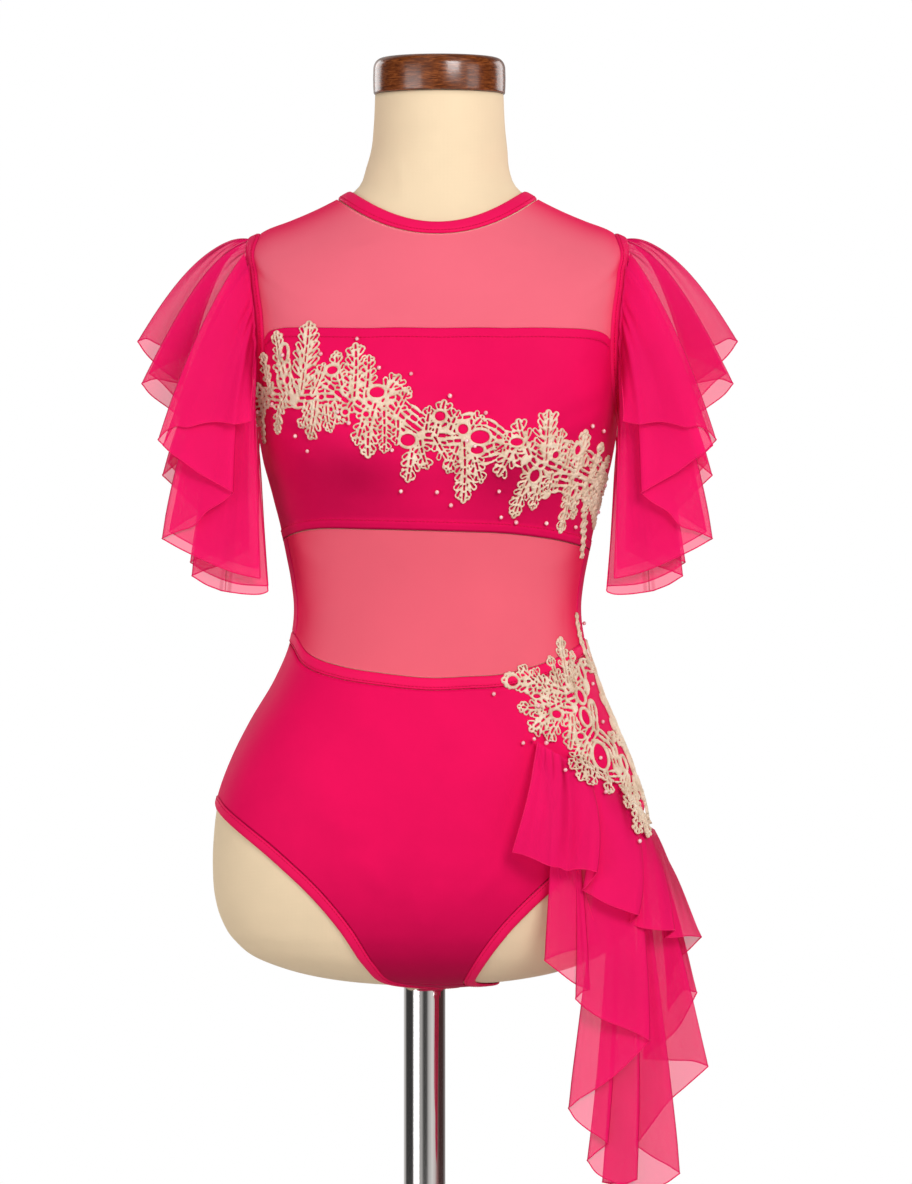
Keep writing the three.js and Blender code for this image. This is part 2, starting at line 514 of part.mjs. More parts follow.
// One row of cloth from a left to a right edge point, bowed through a middle point.
function rowBetween(left, right, middle, cols, off) {
  const half = left.clone().add(right).multiplyScalar(0.5);
  const bow = middle.clone().sub(half);
  return Array.from({ length: cols + 1 }, (_, i) => {
    const u = i / cols;
    if (i === 0 || i === cols) return toForm(i ? right : left, off);
    return toForm(left.clone().lerp(right, u).addScaledVector(bow, 4 * u * (1 - u)), off);
  });
}
function lowerPanel({ cols, seamRows, legRows, seamTop, front, u0, u1 }) {
  // side seam rows, then rows that end on the leg curves between stations u0 and u1
  const build = (off) => {
    const rows = [];
    const legTop = { L: legPoint("L", u0, LEG_IN, 0), R: legPoint("R", u0, LEG_IN, 0) };
    const seamAt = (tag, k) => {
      const a = tag === "L" ? (front ? 180 + SIDE_GAP : 180 - SIDE_GAP) : front ? 360 - SIDE_GAP : SIDE_GAP;
      return formPoint(a, mix(seamTop(a), legTop[tag].z + 3, k));
    };
    for (let j = 0; j <= seamRows + legRows; j++) {
      const onSeam = j <= seamRows;
      const k = onSeam ? j / seamRows : (j - seamRows) / legRows;
      const u = k === 0 ? u0 : k === 1 ? u1 : mix(Math.round(u0), Math.round(u1 * LEG_COLS) / LEG_COLS, k);
      const L = onSeam ? seamAt("L", k) : legPoint("L", u, LEG_IN, 0);
      const R = onSeam ? seamAt("R", k) : legPoint("R", u, LEG_IN, 0);
      const all = j / (seamRows + legRows);
      const middle = k === 1 && !onSeam ? L.clone().add(R).multiplyScalar(0.5) : middleAt(front, all);
      if (j === 0) {
        rows.push(Array.from({ length: cols + 1 }, (_, i) => {
          const a = front ? FRONT_AT[i] : mix(180 - SIDE_GAP, SIDE_GAP, i / cols);
          return onForm(a, seamTop(a), off);
        }));
      } else rows.push(rowBetween(L, R, middle, cols, off));
    }
    return rows;
  };
  return wall(build(CLEAR), build(CLEAR + WALL));
}
// The middle line of the brief, from the waist down and under the form: share of the way, then y and z.
const MIDDLE = {
  front: [
    { way: 0, x: 8, y: -97, z: 752 }, { way: 0.3, x: 6, y: -102, z: 662 }, { way: 0.6, x: 4, y: -97, z: 592 },
    { way: 0.8, x: 2, y: -82, z: 548 }, { way: 0.92, x: 2, y: -62, z: 524 }, { way: 1, x: 4.5, y: -42, z: 511 },
  ],
  back: [
    { way: 0, x: 8, y: 82, z: 790 }, { way: 0.3, x: 6, y: 110, z: 680 }, { way: 0.6, x: 4, y: 117, z: 600 },
    { way: 0.8, x: 3, y: 104, z: 552 }, { way: 0.92, x: 3, y: 78, z: 526 }, { way: 1, x: 5, y: 50, z: 512 },
  ],
};
function middleAt(front, way) {
  const rows = front ? MIDDLE.front : MIDDLE.back;
  return V(straight(rows, "way", "x")(way), straight(rows, "way", "y")(way), straight(rows, "way", "z")(way));
}
const U = (name) => LEG.findIndex((r) => r.at === name) / LEG.length;
const SEAM_U = 0.0009; // half a crotch seam, as a share of the leg curve
const LEG_TOP = 0.0004; // half the side seam at the leg
add("brief_front", lowerPanel({
  cols: last, seamRows: 3, legRows: 12, front: true, seamTop: (a) => waist(a) - WAIST_WIDE - SEAM, u0: LEG_TOP, u1: U("seam1") - SEAM_U,
}), JERSEY);
add("brief_back", lowerPanel({
  cols: 14, seamRows: 3, legRows: 10, front: false, seamTop: () => BACK_WAIST - SEAM / 2, u0: 1 - LEG_TOP, u1: U("seam2") + SEAM_U,
}), JERSEY);
{
  const build = (off) => {
    const rows = [];
    const n = 8; // the binding's stations between the two seams
    for (let j = 0; j <= n; j++) {
      const u = mix(U("seam1"), U("seam2"), j / n) + (j === 0 ? SEAM_U : j === n ? -SEAM_U : 0);
      const L = legPoint("L", u, LEG_IN, 0);
      const R = legPoint("R", u, LEG_IN, 0);
      rows.push(rowBetween(L, R, L.clone().add(R).multiplyScalar(0.5), 4, off));
    }
    return rows;
  };
  add("gusset", wall(build(CLEAR), build(CLEAR + WALL)), JERSEY);
}

// ---------- flounces ----------
// A flounce hangs from its seam to its hem in folds. One row for each fold, in order along the hem:
// seam: place on the seam; lift: height of its gathers over what it is sewn to; x, y, z: the hem there;
// lead and puff: how far the cloth falls, and stands out, half way; fold 1: the cloth turns back on itself here.
const TURN = { back: 2.4, deep: 1.5 }; // half-size of a turned fold at the hem
const FALL = [0, 0.1, 0.3, 0.62, 1]; // rows from the seam to the hem
function flounce(folds, seamPoint, { mirror = false, deep = 0.5 } = {}) {
  const cols = [];
  const hem = (r) => V(r.x, r.y, r.z);
  folds.forEach((r, i) => {
    const here = { ...r, p: hem(r) };
    if (r.fold && i > 0 && i < folds.length - 1) {
      const before = folds[i - 1];
      const after = folds[i + 1];
      const toward = (q) => {
        const d = hem(q).sub(here.p);
        d.y = 0;
        return d.normalize();
      };
      const deepSign = Math.sign(after.y - before.y) || 1;
      const side = (q, sign) => ({
        ...here,
        p: here.p.clone().addScaledVector(toward(q), TURN.back).add(V(0, sign * deepSign * TURN.deep, 0)),
        seam: mix(r.seam, q.seam, 0.06),
        lift: r.lift - sign * 0.5,
      });
      cols.push(side(before, -1), here, side(after, 1));
    } else cols.push(here);
  });
  const flip = (p) => (mirror ? V(2 * CENTRE_X - p.x, p.y, p.z) : p);
  return sheet(
    FALL.map((v) =>
      cols.map((c) => {
        const { point, out } = seamPoint(c.seam, c.lift);
        const H = c.p;
        const C = V(mix(point.x, H.x, c.lead) + out.x * c.puff, mix(point.y, H.y, deep) + out.y * c.puff, mix(point.z, H.z, c.lead));
        if (c.arch) C.x = point.x + out.x * c.puff;
        return flip(
          V(0, 0, 0).addScaledVector(point, (1 - v) * (1 - v)).addScaledVector(C, 2 * v * (1 - v)).addScaledVector(H, v * v),
        );
      }),
    ),
    SHEER,
  );
}
// All sleeve rows are those of the left side (-X); the right side is their mirror image.
const SLEEVE = {
  front: [
    { seam: 112, lift: 6.3, x: -139.5, y: -84, z: 972, lead: 0.5, puff: 1 },
    { seam: 96, lift: 6.8, x: -153, y: -91, z: 967, lead: 0.45, puff: 4 },
    { seam: 78, lift: 6.8, x: -171.7, y: -87, z: 970, lead: 0.4, puff: 6 },
    { seam: 58, lift: 6.8, x: -188.4, y: -91, z: 965, lead: 0.35, puff: 12 },
    { seam: 26, lift: 6.3, x: -214, y: -92, z: 955, lead: 0.2, puff: 18, fold: 1 },
    { seam: 66, lift: 4.8, x: -153.6, y: -85, z: 912, lead: 0.42, puff: 6, fold: 1 },
    { seam: 36, lift: 3.3, x: -212, y: -78, z: 876, lead: 0.45, puff: 18, fold: 1 },
    { seam: 118, lift: 1.8, x: -132.7, y: -72, z: 843, lead: 0.5, puff: 1 },
  ],
  main: [
    { seam: 142, lift: 0.6, x: -126.4, y: -64, z: 832, lead: 0.5, puff: 0 },
    { seam: 118, lift: 0.6, x: -158, y: -64, z: 833, lead: 0.5, puff: 4 },
    { seam: 102, lift: 0.6, x: -166, y: -62, z: 835, lead: 0.5, puff: 6 },
    { seam: 74, lift: 0.6, x: -188.5, y: -60, z: 846, lead: 0.45, puff: 16, fold: 1 },
    { seam: 98, lift: 0.6, x: -142, y: -54, z: 868, lead: 0.5, puff: 3, fold: 1 },
    { seam: 44, lift: 0.6, x: -213, y: -46, z: 927, lead: 0.32, puff: 16, fold: 1 },
    { seam: 46, lift: 0.6, x: -176, y: -36, z: 955, lead: 0.3, puff: 16, fold: 1 },
    { seam: 14, lift: 1.4, x: -231, y: -24, z: 1004, lead: 0.06, puff: 38, arch: 1, fold: 1 },
    { seam: 8, lift: 1.0, x: -197, y: -8, z: 1003, lead: 0.1, puff: 28, arch: 1, fold: 1 },
    { seam: 0, lift: 1.6, x: -236.4, y: 10, z: 1039, lead: 0.04, puff: 42, arch: 1, fold: 1 },
    { seam: -10, lift: 1.0, x: -195, y: 26, z: 1026, lead: 0.1, puff: 28, arch: 1, fold: 1 },
    { seam: -20, lift: 1.4, x: -228, y: 40, z: 1012, lead: 0.08, puff: 36, arch: 1, fold: 1 },
    { seam: -46, lift: 0.6, x: -178, y: 46, z: 966, lead: 0.3, puff: 16, fold: 1 },
    { seam: -42, lift: 0.6, x: -211, y: 56, z: 938, lead: 0.32, puff: 16, fold: 1 },
    { seam: -94, lift: 0.6, x: -146, y: 67, z: 880, lead: 0.5, puff: 3, fold: 1 },
    { seam: -72, lift: 0.6, x: -190, y: 73, z: 857, lead: 0.45, puff: 14, fold: 1 },
    { seam: -142, lift: 0.6, x: -128, y: 78, z: 838, lead: 0.5, puff: 0 },
  ],
  back: [
    { seam: -112, lift: 7.0, x: -140, y: 97, z: 977, lead: 0.5, puff: 1 },
    { seam: -86, lift: 7.5, x: -165, y: 104, z: 968, lead: 0.42, puff: 5 },
    { seam: -58, lift: 7.5, x: -189, y: 101, z: 973, lead: 0.35, puff: 12 },
    { seam: -28, lift: 7.0, x: -211, y: 104, z: 951, lead: 0.2, puff: 18, fold: 1 },
    { seam: -66, lift: 5.5, x: -157, y: 98, z: 904, lead: 0.42, puff: 6, fold: 1 },
    { seam: -38, lift: 4.0, x: -206, y: 92, z: 881, lead: 0.45, puff: 18, fold: 1 },
    { seam: -118, lift: 2.5, x: -134, y: 86, z: 851, lead: 0.5, puff: 1 },
  ],
};
// The main flounce is sewn at the band's free edge, the two short cascades along the band.
const MID_BAND = {
  front: mix(ARMHOLE.free.front, ARMHOLE.seam.front, 0.6), back: mix(ARMHOLE.free.back, ARMHOLE.seam.back, 0.66),
  high: (ARMHOLE.seam.high + ARMHOLE.free.high) / 2, low: (ARMHOLE.seam.low + ARMHOLE.free.low) / 2, off: (CLEAR + ARMHOLE.free.off) / 2,
};
const sleeveSeam = (loop) => (turn, lift) => {
  const [a, t] = armhole(loop, turn, -1);
  const point = onForm(a, t, loop.off + BIND + SEAM + SHEER / 2 + lift);
  return { point, out: V(-1, 0, 0) };
};
for (const [tag, mirror] of [["L", false], ["R", true]])
  for (const part of ["front", "main", "back"])
    add(`sleeve_${part}_${tag}`, flounce(SLEEVE[part], sleeveSeam(part === "main" ? ARMHOLE.free : MID_BAND), { mirror, deep: part === "main" ? 0.35 : 0.85 }), CHIFFON);

const DRAPE_SEAM = [
  { way: 0, angle: 313, level: 711 }, { way: 0.25, angle: 326, level: 691 }, { way: 0.45, angle: 335, level: 675 },
  { way: 0.65, angle: 343, level: 653 }, { way: 0.8, angle: 350, level: 641 }, { way: 1, angle: 364, level: 631 },
];
const DRAPE_OFF = 4.4;
const drapeSeam = (k, lift) => {
  const a = straight(DRAPE_SEAM, "way", "angle")(k);
  const t = straight(DRAPE_SEAM, "way", "level")(k);
  const out = formNormal(a, t);
  return { point: onForm(a, t, DRAPE_OFF + lift), out };
};
const DRAPE = {
  upper: [
    { seam: 0.0, lift: 3.0, x: 70.6, y: -116, z: 624, lead: 0.5, puff: 14 },
    { seam: 0.07, lift: 3.4, x: 89, y: -120, z: 618, lead: 0.5, puff: 18 },
    { seam: 0.14, lift: 3.0, x: 112, y: -114, z: 608, lead: 0.5, puff: 16 },
    { seam: 0.2, lift: 3.2, x: 139, y: -112, z: 606, lead: 0.5, puff: 20, fold: 1 },
    { seam: 0.3, lift: 2.9, x: 128, y: -107, z: 592, lead: 0.5, puff: 16, fold: 1 },
    { seam: 0.44, lift: 3.2, x: 174, y: -96, z: 571, lead: 0.5, puff: 18, fold: 1 },
    { seam: 0.52, lift: 2.9, x: 164, y: -90, z: 563, lead: 0.5, puff: 17, fold: 1 },
    { seam: 0.66, lift: 3.2, x: 204, y: -72, z: 557, lead: 0.5, puff: 20, fold: 1 },
    { seam: 0.76, lift: 2.9, x: 192, y: -62, z: 552, lead: 0.5, puff: 17, fold: 1 },
    { seam: 0.93, lift: 3.2, x: 227, y: -42, z: 550, lead: 0.5, puff: 24, fold: 1 },
    { seam: 1.0, lift: 3.2, x: 207, y: -26, z: 512, lead: 0.5, puff: 26 },
  ],
  lower: [
    { seam: 0.04, lift: 0.4, x: 97.3, y: -101, z: 545, lead: 0.5, puff: 6 },
    { seam: 0.14, lift: 0.4, x: 122, y: -99, z: 517, lead: 0.5, puff: 8 },
    { seam: 0.22, lift: 0.4, x: 121.6, y: -100, z: 504, lead: 0.5, puff: 8 },
    { seam: 0.3, lift: 0.4, x: 129, y: -101, z: 497, lead: 0.5, puff: 8 },
    { seam: 0.56, lift: 0.8, x: 184, y: -84, z: 466, lead: 0.5, puff: 12, fold: 1 },
    { seam: 0.46, lift: 0.8, x: 116, y: -90, z: 417, lead: 0.5, puff: 6, fold: 1 },
    { seam: 0.55, lift: 0.6, x: 148.7, y: -80, z: 384, lead: 0.5, puff: 10, fold: 1 },
    { seam: 0.52, lift: 0.6, x: 131.6, y: -74, z: 373, lead: 0.5, puff: 9, fold: 1 },
    { seam: 0.58, lift: 0.6, x: 154.8, y: -66, z: 352, lead: 0.5, puff: 10 },
    { seam: 0.64, lift: 0.6, x: 173, y: -62, z: 346, lead: 0.5, puff: 11, fold: 1 },
    { seam: 0.66, lift: 0.6, x: 168, y: -55, z: 352, lead: 0.5, puff: 11, fold: 1 },
    { seam: 0.74, lift: 0.6, x: 209, y: -44, z: 354, lead: 0.5, puff: 11, fold: 1 },
    { seam: 0.76, lift: 0.6, x: 173, y: -32, z: 383, lead: 0.5, puff: 11, fold: 1 },
    { seam: 0.9, lift: 0.0, x: 233.6, y: -10, z: 441, lead: 0.5, puff: 9, fold: 1 },
    { seam: 0.93, lift: 0.0, x: 197, y: 6, z: 450, lead: 0.5, puff: 8, fold: 1 },
    { seam: 1.0, lift: 0.0, x: 200, y: 26, z: 487, lead: 0.5, puff: 8 },
  ],
};
for (const part of ["upper", "lower"]) add(`hip_drape_${part}`, flounce(DRAPE[part], drapeSeam), CHIFFON);

// ---------- lace ----------
// Jagged outlines of the two lace pieces: tips and notches in order.
const BUST_LACE = {
  upper: [
    { angle: 193, level: 961 }, { angle: 199, level: 964 }, { angle: 200, level: 1012 }, { angle: 204, level: 1034 }, { angle: 208, level: 1030 }, { angle: 211, level: 1064 },
    { angle: 215, level: 1052 }, { angle: 220.6, level: 1091 }, { angle: 226, level: 1046 }, { angle: 230, level: 1054 }, { angle: 236, level: 1070 }, { angle: 241, level: 1056 },
    { angle: 246, level: 1012 }, { angle: 254, level: 1024 }, { angle: 259, level: 1006 }, { angle: 266, level: 978 }, { angle: 273, level: 990 }, { angle: 280, level: 966 },
    { angle: 287, level: 973 }, { angle: 294, level: 958 }, { angle: 301, level: 971 }, { angle: 311, level: 979 }, { angle: 315, level: 962 }, { angle: 321, level: 948 },
    { angle: 327, level: 962 }, { angle: 332, level: 946 }, { angle: 337, level: 953 }, { angle: 344.5, level: 945 }, { angle: 350, level: 938 },
  ],
  lower: [
    { angle: 193, level: 956 }, { angle: 196.5, level: 952 }, { angle: 201, level: 974 }, { angle: 207, level: 961 }, { angle: 216, level: 959 }, { angle: 222, level: 955 },
    { angle: 226, level: 974 }, { angle: 230, level: 960 }, { angle: 236, level: 982 }, { angle: 240, level: 970 }, { angle: 243, level: 940 }, { angle: 248, level: 943 },
    { angle: 252, level: 954 }, { angle: 257, level: 921 }, { angle: 262, level: 944 }, { angle: 266, level: 931 }, { angle: 276, level: 930 }, { angle: 281, level: 904 },
    { angle: 285, level: 930 }, { angle: 288, level: 920 }, { angle: 295, level: 925 }, { angle: 299, level: 918 }, { angle: 303, level: 892 }, { angle: 310, level: 899 },
    { angle: 317, level: 912 }, { angle: 325.5, level: 881 }, { angle: 331, level: 898 }, { angle: 338, level: 877 }, { angle: 345, level: 882 }, { angle: 350, level: 869 },
  ],
  angles: [193, 196.5, 199, 200.2, 204, 207.5, 211, 216, 220.6, 226, 230, 236, 241, 246, 252, 257, 262, 266, 273, 277, 281, 287, 294, 301, 306, 311, 316, 321, 326, 332, 338, 344.5, 350],
};
{
  const up = straight(BUST_LACE.upper, "angle", "level");
  const low = straight(BUST_LACE.lower, "angle", "level");
  const A = BUST_LACE.angles;
  // the lace climbs a little where it lies on the armhole band
  const bandRise = (a, t) => LACE_OFF + 0.7 * Math.max(0, 204 - a) * smooth(t, 962, 975);
  add("bust_lace", panel(A.length - 1, 3, (u, v) => {
    const a = A[Math.round(u * (A.length - 1))];
    return [a, mix(low(a), up(a), v)];
  }, { from: (a, t) => bandRise(a, t), to: (a, t) => bandRise(a, t) + LACE }), GUIPURE);
}
const HIP_LACE = [
  { level: 631, left: 350, right: 356 }, { level: 636, left: 344.5, right: 360 }, { level: 645, left: 347, right: 363 }, { level: 655, left: 342, right: 365 },
  { level: 669, left: 335.8, right: 366 }, { level: 674, left: 332, right: 364 }, { level: 680, left: 327, right: 366 }, { level: 689, left: 324, right: 367 },
  { level: 696, left: 328, right: 365 }, { level: 705, left: 322, right: 367 }, { level: 714, left: 316, right: 366 }, { level: 722, left: 310.5, right: 367 },
  { level: 731, left: 313, right: 364 }, { level: 740, left: 306, right: 366 }, { level: 750, left: 308, right: 364 }, { level: 760, left: 300, right: 365 },
  { level: 768, left: 305, right: 362 }, { level: 774, left: 308, right: 363 }, { level: 783, left: 323, right: 360 }, { level: 790, left: 329, right: 361 },
  { level: 798, left: 331, right: 357 }, { level: 808, left: 341, right: 357 }, { level: 817, left: 343.5, right: 350 },
];
const overDrape = (a, t) => smooth(straight(DRAPE_SEAM, "angle", "level")(a) + 38 - t, 0, 24) * smooth(a, 302, 312);
{
  const off = (extra) => (a, t) => mix(LACE_OFF, LACE_OVER_DRAPE, overDrape(a, t)) + extra;
  add("hip_lace", panel(8, HIP_LACE.length - 1, (u, v) => {
    const r = HIP_LACE[Math.round(v * (HIP_LACE.length - 1))];
    return [mix(r.left, r.right, u), r.level];
  }, { from: off(0), to: off(LACE) }), GUIPURE);
}

export default group;
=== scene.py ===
"""Lyrical dance bodysuit on a limbless dress form: the looks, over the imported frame.

Everything is worked out in millimetres in the frame of the part (origin under the stand's base, +Z up, the front
of the costume towards -Y) and turned into metres when a mesh is made. An angle runs round the body: 270 is the
front, 180 the viewer's left, 0 or 360 the viewer's right, 90 the back. A level names a ring of the form.
"""
import math
import random

import bpy
import numpy as np
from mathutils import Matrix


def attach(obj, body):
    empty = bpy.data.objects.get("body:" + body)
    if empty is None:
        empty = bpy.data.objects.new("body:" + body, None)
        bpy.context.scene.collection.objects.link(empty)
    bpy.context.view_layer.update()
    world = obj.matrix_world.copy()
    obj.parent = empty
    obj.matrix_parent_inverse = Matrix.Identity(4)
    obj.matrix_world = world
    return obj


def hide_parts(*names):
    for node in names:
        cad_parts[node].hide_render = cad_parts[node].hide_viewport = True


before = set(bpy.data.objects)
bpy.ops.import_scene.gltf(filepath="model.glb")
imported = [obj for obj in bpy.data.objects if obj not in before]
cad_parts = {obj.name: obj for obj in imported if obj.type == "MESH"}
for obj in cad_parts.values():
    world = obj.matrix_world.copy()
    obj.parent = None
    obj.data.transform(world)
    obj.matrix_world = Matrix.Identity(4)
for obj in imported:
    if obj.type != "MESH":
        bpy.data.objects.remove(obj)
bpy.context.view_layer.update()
random.seed(11)
RNG = np.random.default_rng(11)

# ---------------------------------------------------------------- camera numbers
SCALE = 0.82  # mm for each picture pixel at the pole's depth
EYE = (25.75, -5000.0, 832.4)
LENS = 185.4


def mm(px, py, y):
    """The point at depth y that shows at picture place px, py."""
    k = SCALE * (5000.0 + y) / 5000.0
    return np.array([EYE[0] + (px - 456.0) * k, y, EYE[2] - (py - 592.0) * k])


# ---------------------------------------------------------------- the body
# level, heights at the side, front and back, centre x, half width, front and back depth, squareness
FORM = np.array([
    [485, 509.8, 509.8, 509.8, 0.6, 1.0, 1.0, 1.0, 2.0], [490, 510.0, 510.0, 510.0, 0.6, 19.0, 19.0, 19.0, 2.0],
    [500, 511.2, 511.2, 511.2, 0.6, 46.0, 30.0, 33.0, 2.1], [510, 514.5, 514.5, 514.5, 1.1, 77.0, 43.0, 50.0, 2.2],
    [520, 520.5, 520.5, 520.5, 1.6, 107.0, 56.0, 68.0, 2.2], [531, 531, 531, 531, 1.6, 137.0, 69.0, 86.0, 2.25],
    [547, 547, 547, 547, 2.6, 159.0, 81.0, 101.0, 2.3], [564, 564, 564, 564, 3.1, 170.0, 89.0, 110.0, 2.3],
    [583, 583, 583, 583, 3.6, 176.0, 95.0, 115.0, 2.3], [605, 605, 605, 605, 4.1, 178.3, 99.0, 117.0, 2.3],
    [630, 630, 630, 630, 4.4, 178.0, 101.0, 116.0, 2.3], [662, 662, 662, 662, 4.6, 174.0, 102.0, 111.0, 2.3],
    [695, 695, 695, 695, 5.0, 162.8, 101.5, 102.0, 2.3], [727, 727, 727, 727, 6.8, 148.6, 99.0, 92.0, 2.3],
    [760, 760, 760, 760, 9.4, 131.6, 94.5, 82.0, 2.25], [793, 793, 793, 793, 10.6, 119.4, 90.0, 75.0, 2.2],
    [818, 818, 818, 818, 10.6, 116.3, 88.5, 73.0, 2.2], [842, 842, 842, 842, 10.6, 118.6, 90.0, 74.5, 2.2],
    [863, 863, 863, 863, 10.6, 122.6, 93.5, 77.5, 2.2], [884, 884, 884, 884, 10.6, 127.0, 98.5, 81.5, 2.2],
    [908, 908, 908, 908, 10.6, 133.0, 105.0, 86.5, 2.25], [941, 941, 941, 941, 10.6, 141.8, 113.0, 93.0, 2.3],
    [965, 965, 965, 965, 10.6, 146.0, 115.0, 97.0, 2.4], [990, 990, 986, 990, 10.6, 148.0, 113.0, 100.0, 2.6],
    [1030, 1030, 1008, 1026, 10.6, 149.0, 107.0, 102.0, 2.9], [1070, 1070, 1028, 1058, 10.6, 150.2, 101.0, 101.0, 3.1],
    [1105, 1105, 1048, 1084, 10.6, 151.2, 96.0, 98.0, 3.1], [1122, 1121, 1062, 1101, 10.6, 149.5, 92.5, 95.0, 2.9],
    [1130, 1128.5, 1074, 1113, 10.6, 139.0, 89.5, 91.0, 2.7], [1138, 1135.5, 1089, 1129, 10.6, 120.5, 86.0, 85.5, 2.4],
    [1147, 1144.0, 1105, 1144, 10.6, 100.5, 81.5, 78.5, 2.2], [1155, 1152.5, 1120, 1158, 10.6, 83.5, 76.0, 71.0, 2.1],
    [1162, 1160.5, 1133, 1169, 10.6, 69.5, 69.0, 65.0, 2.0], [1170, 1168.0, 1149, 1178, 10.6, 63.0, 61.5, 61.0, 2.0],
    [1180, 1179.0, 1166, 1187, 10.6, 59.5, 57.5, 59.0, 2.0], [1196, 1195, 1188, 1199, 12.1, 56.5, 55.0, 57.5, 2.0],
    [1214, 1213, 1210, 1214, 12.1, 54.6, 53.5, 56.0, 2.0], [1240, 1240, 1240, 1240, 12.1, 53.3, 52.5, 55.0, 2.0],
], float)
CENTRE_X, NECK_X = 10.6, 12.1


def hermite(T, Y, t):
    """Smooth columns of a table: tangents from the neighbours."""
    T = np.asarray(T, float)
    Y = np.asarray(Y, float)
    flat = Y.ndim == 1
    if flat:
        Y = Y[:, None]
    t = np.clip(np.asarray(t, float), T[0], T[-1])
    i = np.clip(np.searchsorted(T, t, side="right") - 1, 0, len(T) - 2)
    h = np.diff(T)
    d = np.diff(Y, axis=0) / h[:, None]
    m = np.zeros_like(Y)
    m[1:-1] = (d[:-1] * h[1:, None] + d[1:] * h[:-1, None]) / (h[1:] + h[:-1])[:, None]
    m[0], m[-1] = d[0], d[-1]
    hh = h[i][..., None]
    u = ((t - T[i]) / h[i])[..., None]
    u2, u3 = u * u, u * u * u
    out = (2 * u3 - 3 * u2 + 1) * Y[i] + (u3 - 2 * u2 + u) * hh * m[i] + (-2 * u3 + 3 * u2) * Y[i + 1] + (u3 - u2) * hh * m[i + 1]
    return out[..., 0] if flat else out


def body(a, t):
    a, t = np.broadcast_arrays(np.asarray(a, float), np.asarray(t, float))
    zs, zf, zb, cx, W, Fo, Ba, n = np.moveaxis(hermite(FORM[:, 0], FORM[:, 1:], t), -1, 0)
    r = np.radians(a)
    c, s = np.cos(r), np.sin(r)
    D = np.where(s < 0, Fo, Ba)
    rad = 1 / ((np.abs(c) / W) ** n + (np.abs(s) / D) ** n) ** (1 / n)
    x, y = rad * c, rad * s
    z = zs + (np.where(s < 0, zf, zb) - zs) * (np.abs(y) / D) ** 2
    up = np.where(z > 952, 58.0, 36.0)
    rise = 13.0 * np.exp(-(((np.abs(x) - 70) / 42.0) ** 2)) * np.exp(-(((z - 952) / up) ** 2)) * np.clip(-s * 1.6, 0, 1)
    return np.stack([cx + x, y - rise, z], -1)


def body_normal(a, t, e=0.4):
    da = body(np.asarray(a) + e, t) - body(np.asarray(a) - e, t)
    dt = body(a, np.asarray(t) + e) - body(a, np.asarray(t) - e)
    n = np.cross(da, dt)
    return n / (np.linalg.norm(n, axis=-1, keepdims=True) + 1e-12)


def on(a, t, off=0.0):
    off = np.asarray(off, float)
    return body(a, t) + body_normal(a, t) * (off[..., None] if off.ndim else off)


SEEN = {}


def shows_at(px, py, off=2.0):
    """Angle and level of the front that shows at a picture place."""
    if not SEEN:
        A, T = np.meshgrid(np.linspace(184, 358, 120), np.linspace(500, 1180, 240))
        P = on(A, T, 3.0)
        k = 5000.0 / (5000.0 + P[..., 1]) / SCALE
        SEEN.update(A=A, T=T, X=456 + (P[..., 0] - EYE[0]) * k, Y=592 - (P[..., 2] - EYE[2]) * k)
    d = np.hypot(SEEN["X"] - px, SEEN["Y"] - py)
    i = np.unravel_index(np.argmin(d), d.shape)
    a, t = SEEN["A"][i], SEEN["T"][i]

    def see(a, t):
        p = on(a, t, off)
        k = 5000.0 / (5000.0 + p[1]) / SCALE
        return np.array([456 + (p[0] - EYE[0]) * k, 592 - (p[2] - EYE[2]) * k])

    for _ in range(12):
        q = see(a, t)
        e = np.array([px, py]) - q
        if np.hypot(*e) < 0.02:
            break
        J = np.stack([(see(a + 0.05, t) - q) / 0.05, (see(a, t + 0.2) - q) / 0.2], 1)
        dx = np.linalg.lstsq(J, e, rcond=0.02)[0]
        a += np.clip(dx[0], -3, 3)
        t += np.clip(dx[1], -8, 8)
    return a, t


# level for a height, where the rings are level
_LV = np.linspace(485, 962, 1600)
_LZ = hermite(FORM[:, 0], FORM[:, 1], _LV)


def outside(p):
    z = np.clip(p[..., 2], 509.9, 960)
    t = np.interp(z, _LZ, _LV)
    zs, zf, zb, cx, W, Fo, Ba, n = np.moveaxis(hermite(FORM[:, 0], FORM[:, 1:], t), -1, 0)
    D = np.where(p[..., 1] < 0, Fo, Ba)
    return (np.abs(p[..., 0] - cx) / W) ** n + (np.abs(p[..., 1]) / D) ** n - 1


def surface_normal(p):
    e = 0.5
    g = np.stack([outside(p + d) - outside(p - d) for d in (np.array([e, 0, 0]), np.array([0, e, 0]), np.array([0, 0, e]))], -1)
    g /= np.linalg.norm(g, axis=-1, keepdims=True) + 1e-12
    flat = p[..., 2] < 511.5
    if np.any(flat):
        w = np.clip((p[..., 2] - 509.8) / 1.7, 0, 1)
        w = (w * w * (3 - 2 * w)) * 0.12
        o = np.stack([p[..., 0] - 0.6, p[..., 1] * 1.6, np.zeros(p.shape[:-1])], -1)
        o /= np.linalg.norm(o, axis=-1, keepdims=True) + 1e-9
        q = np.stack([o[..., 0] * w, o[..., 1] * w, -np.ones(p.shape[:-1])], -1)
        q /= np.linalg.norm(q, axis=-1, keepdims=True)
        g = np.where(flat[..., None], q, g)
    return g


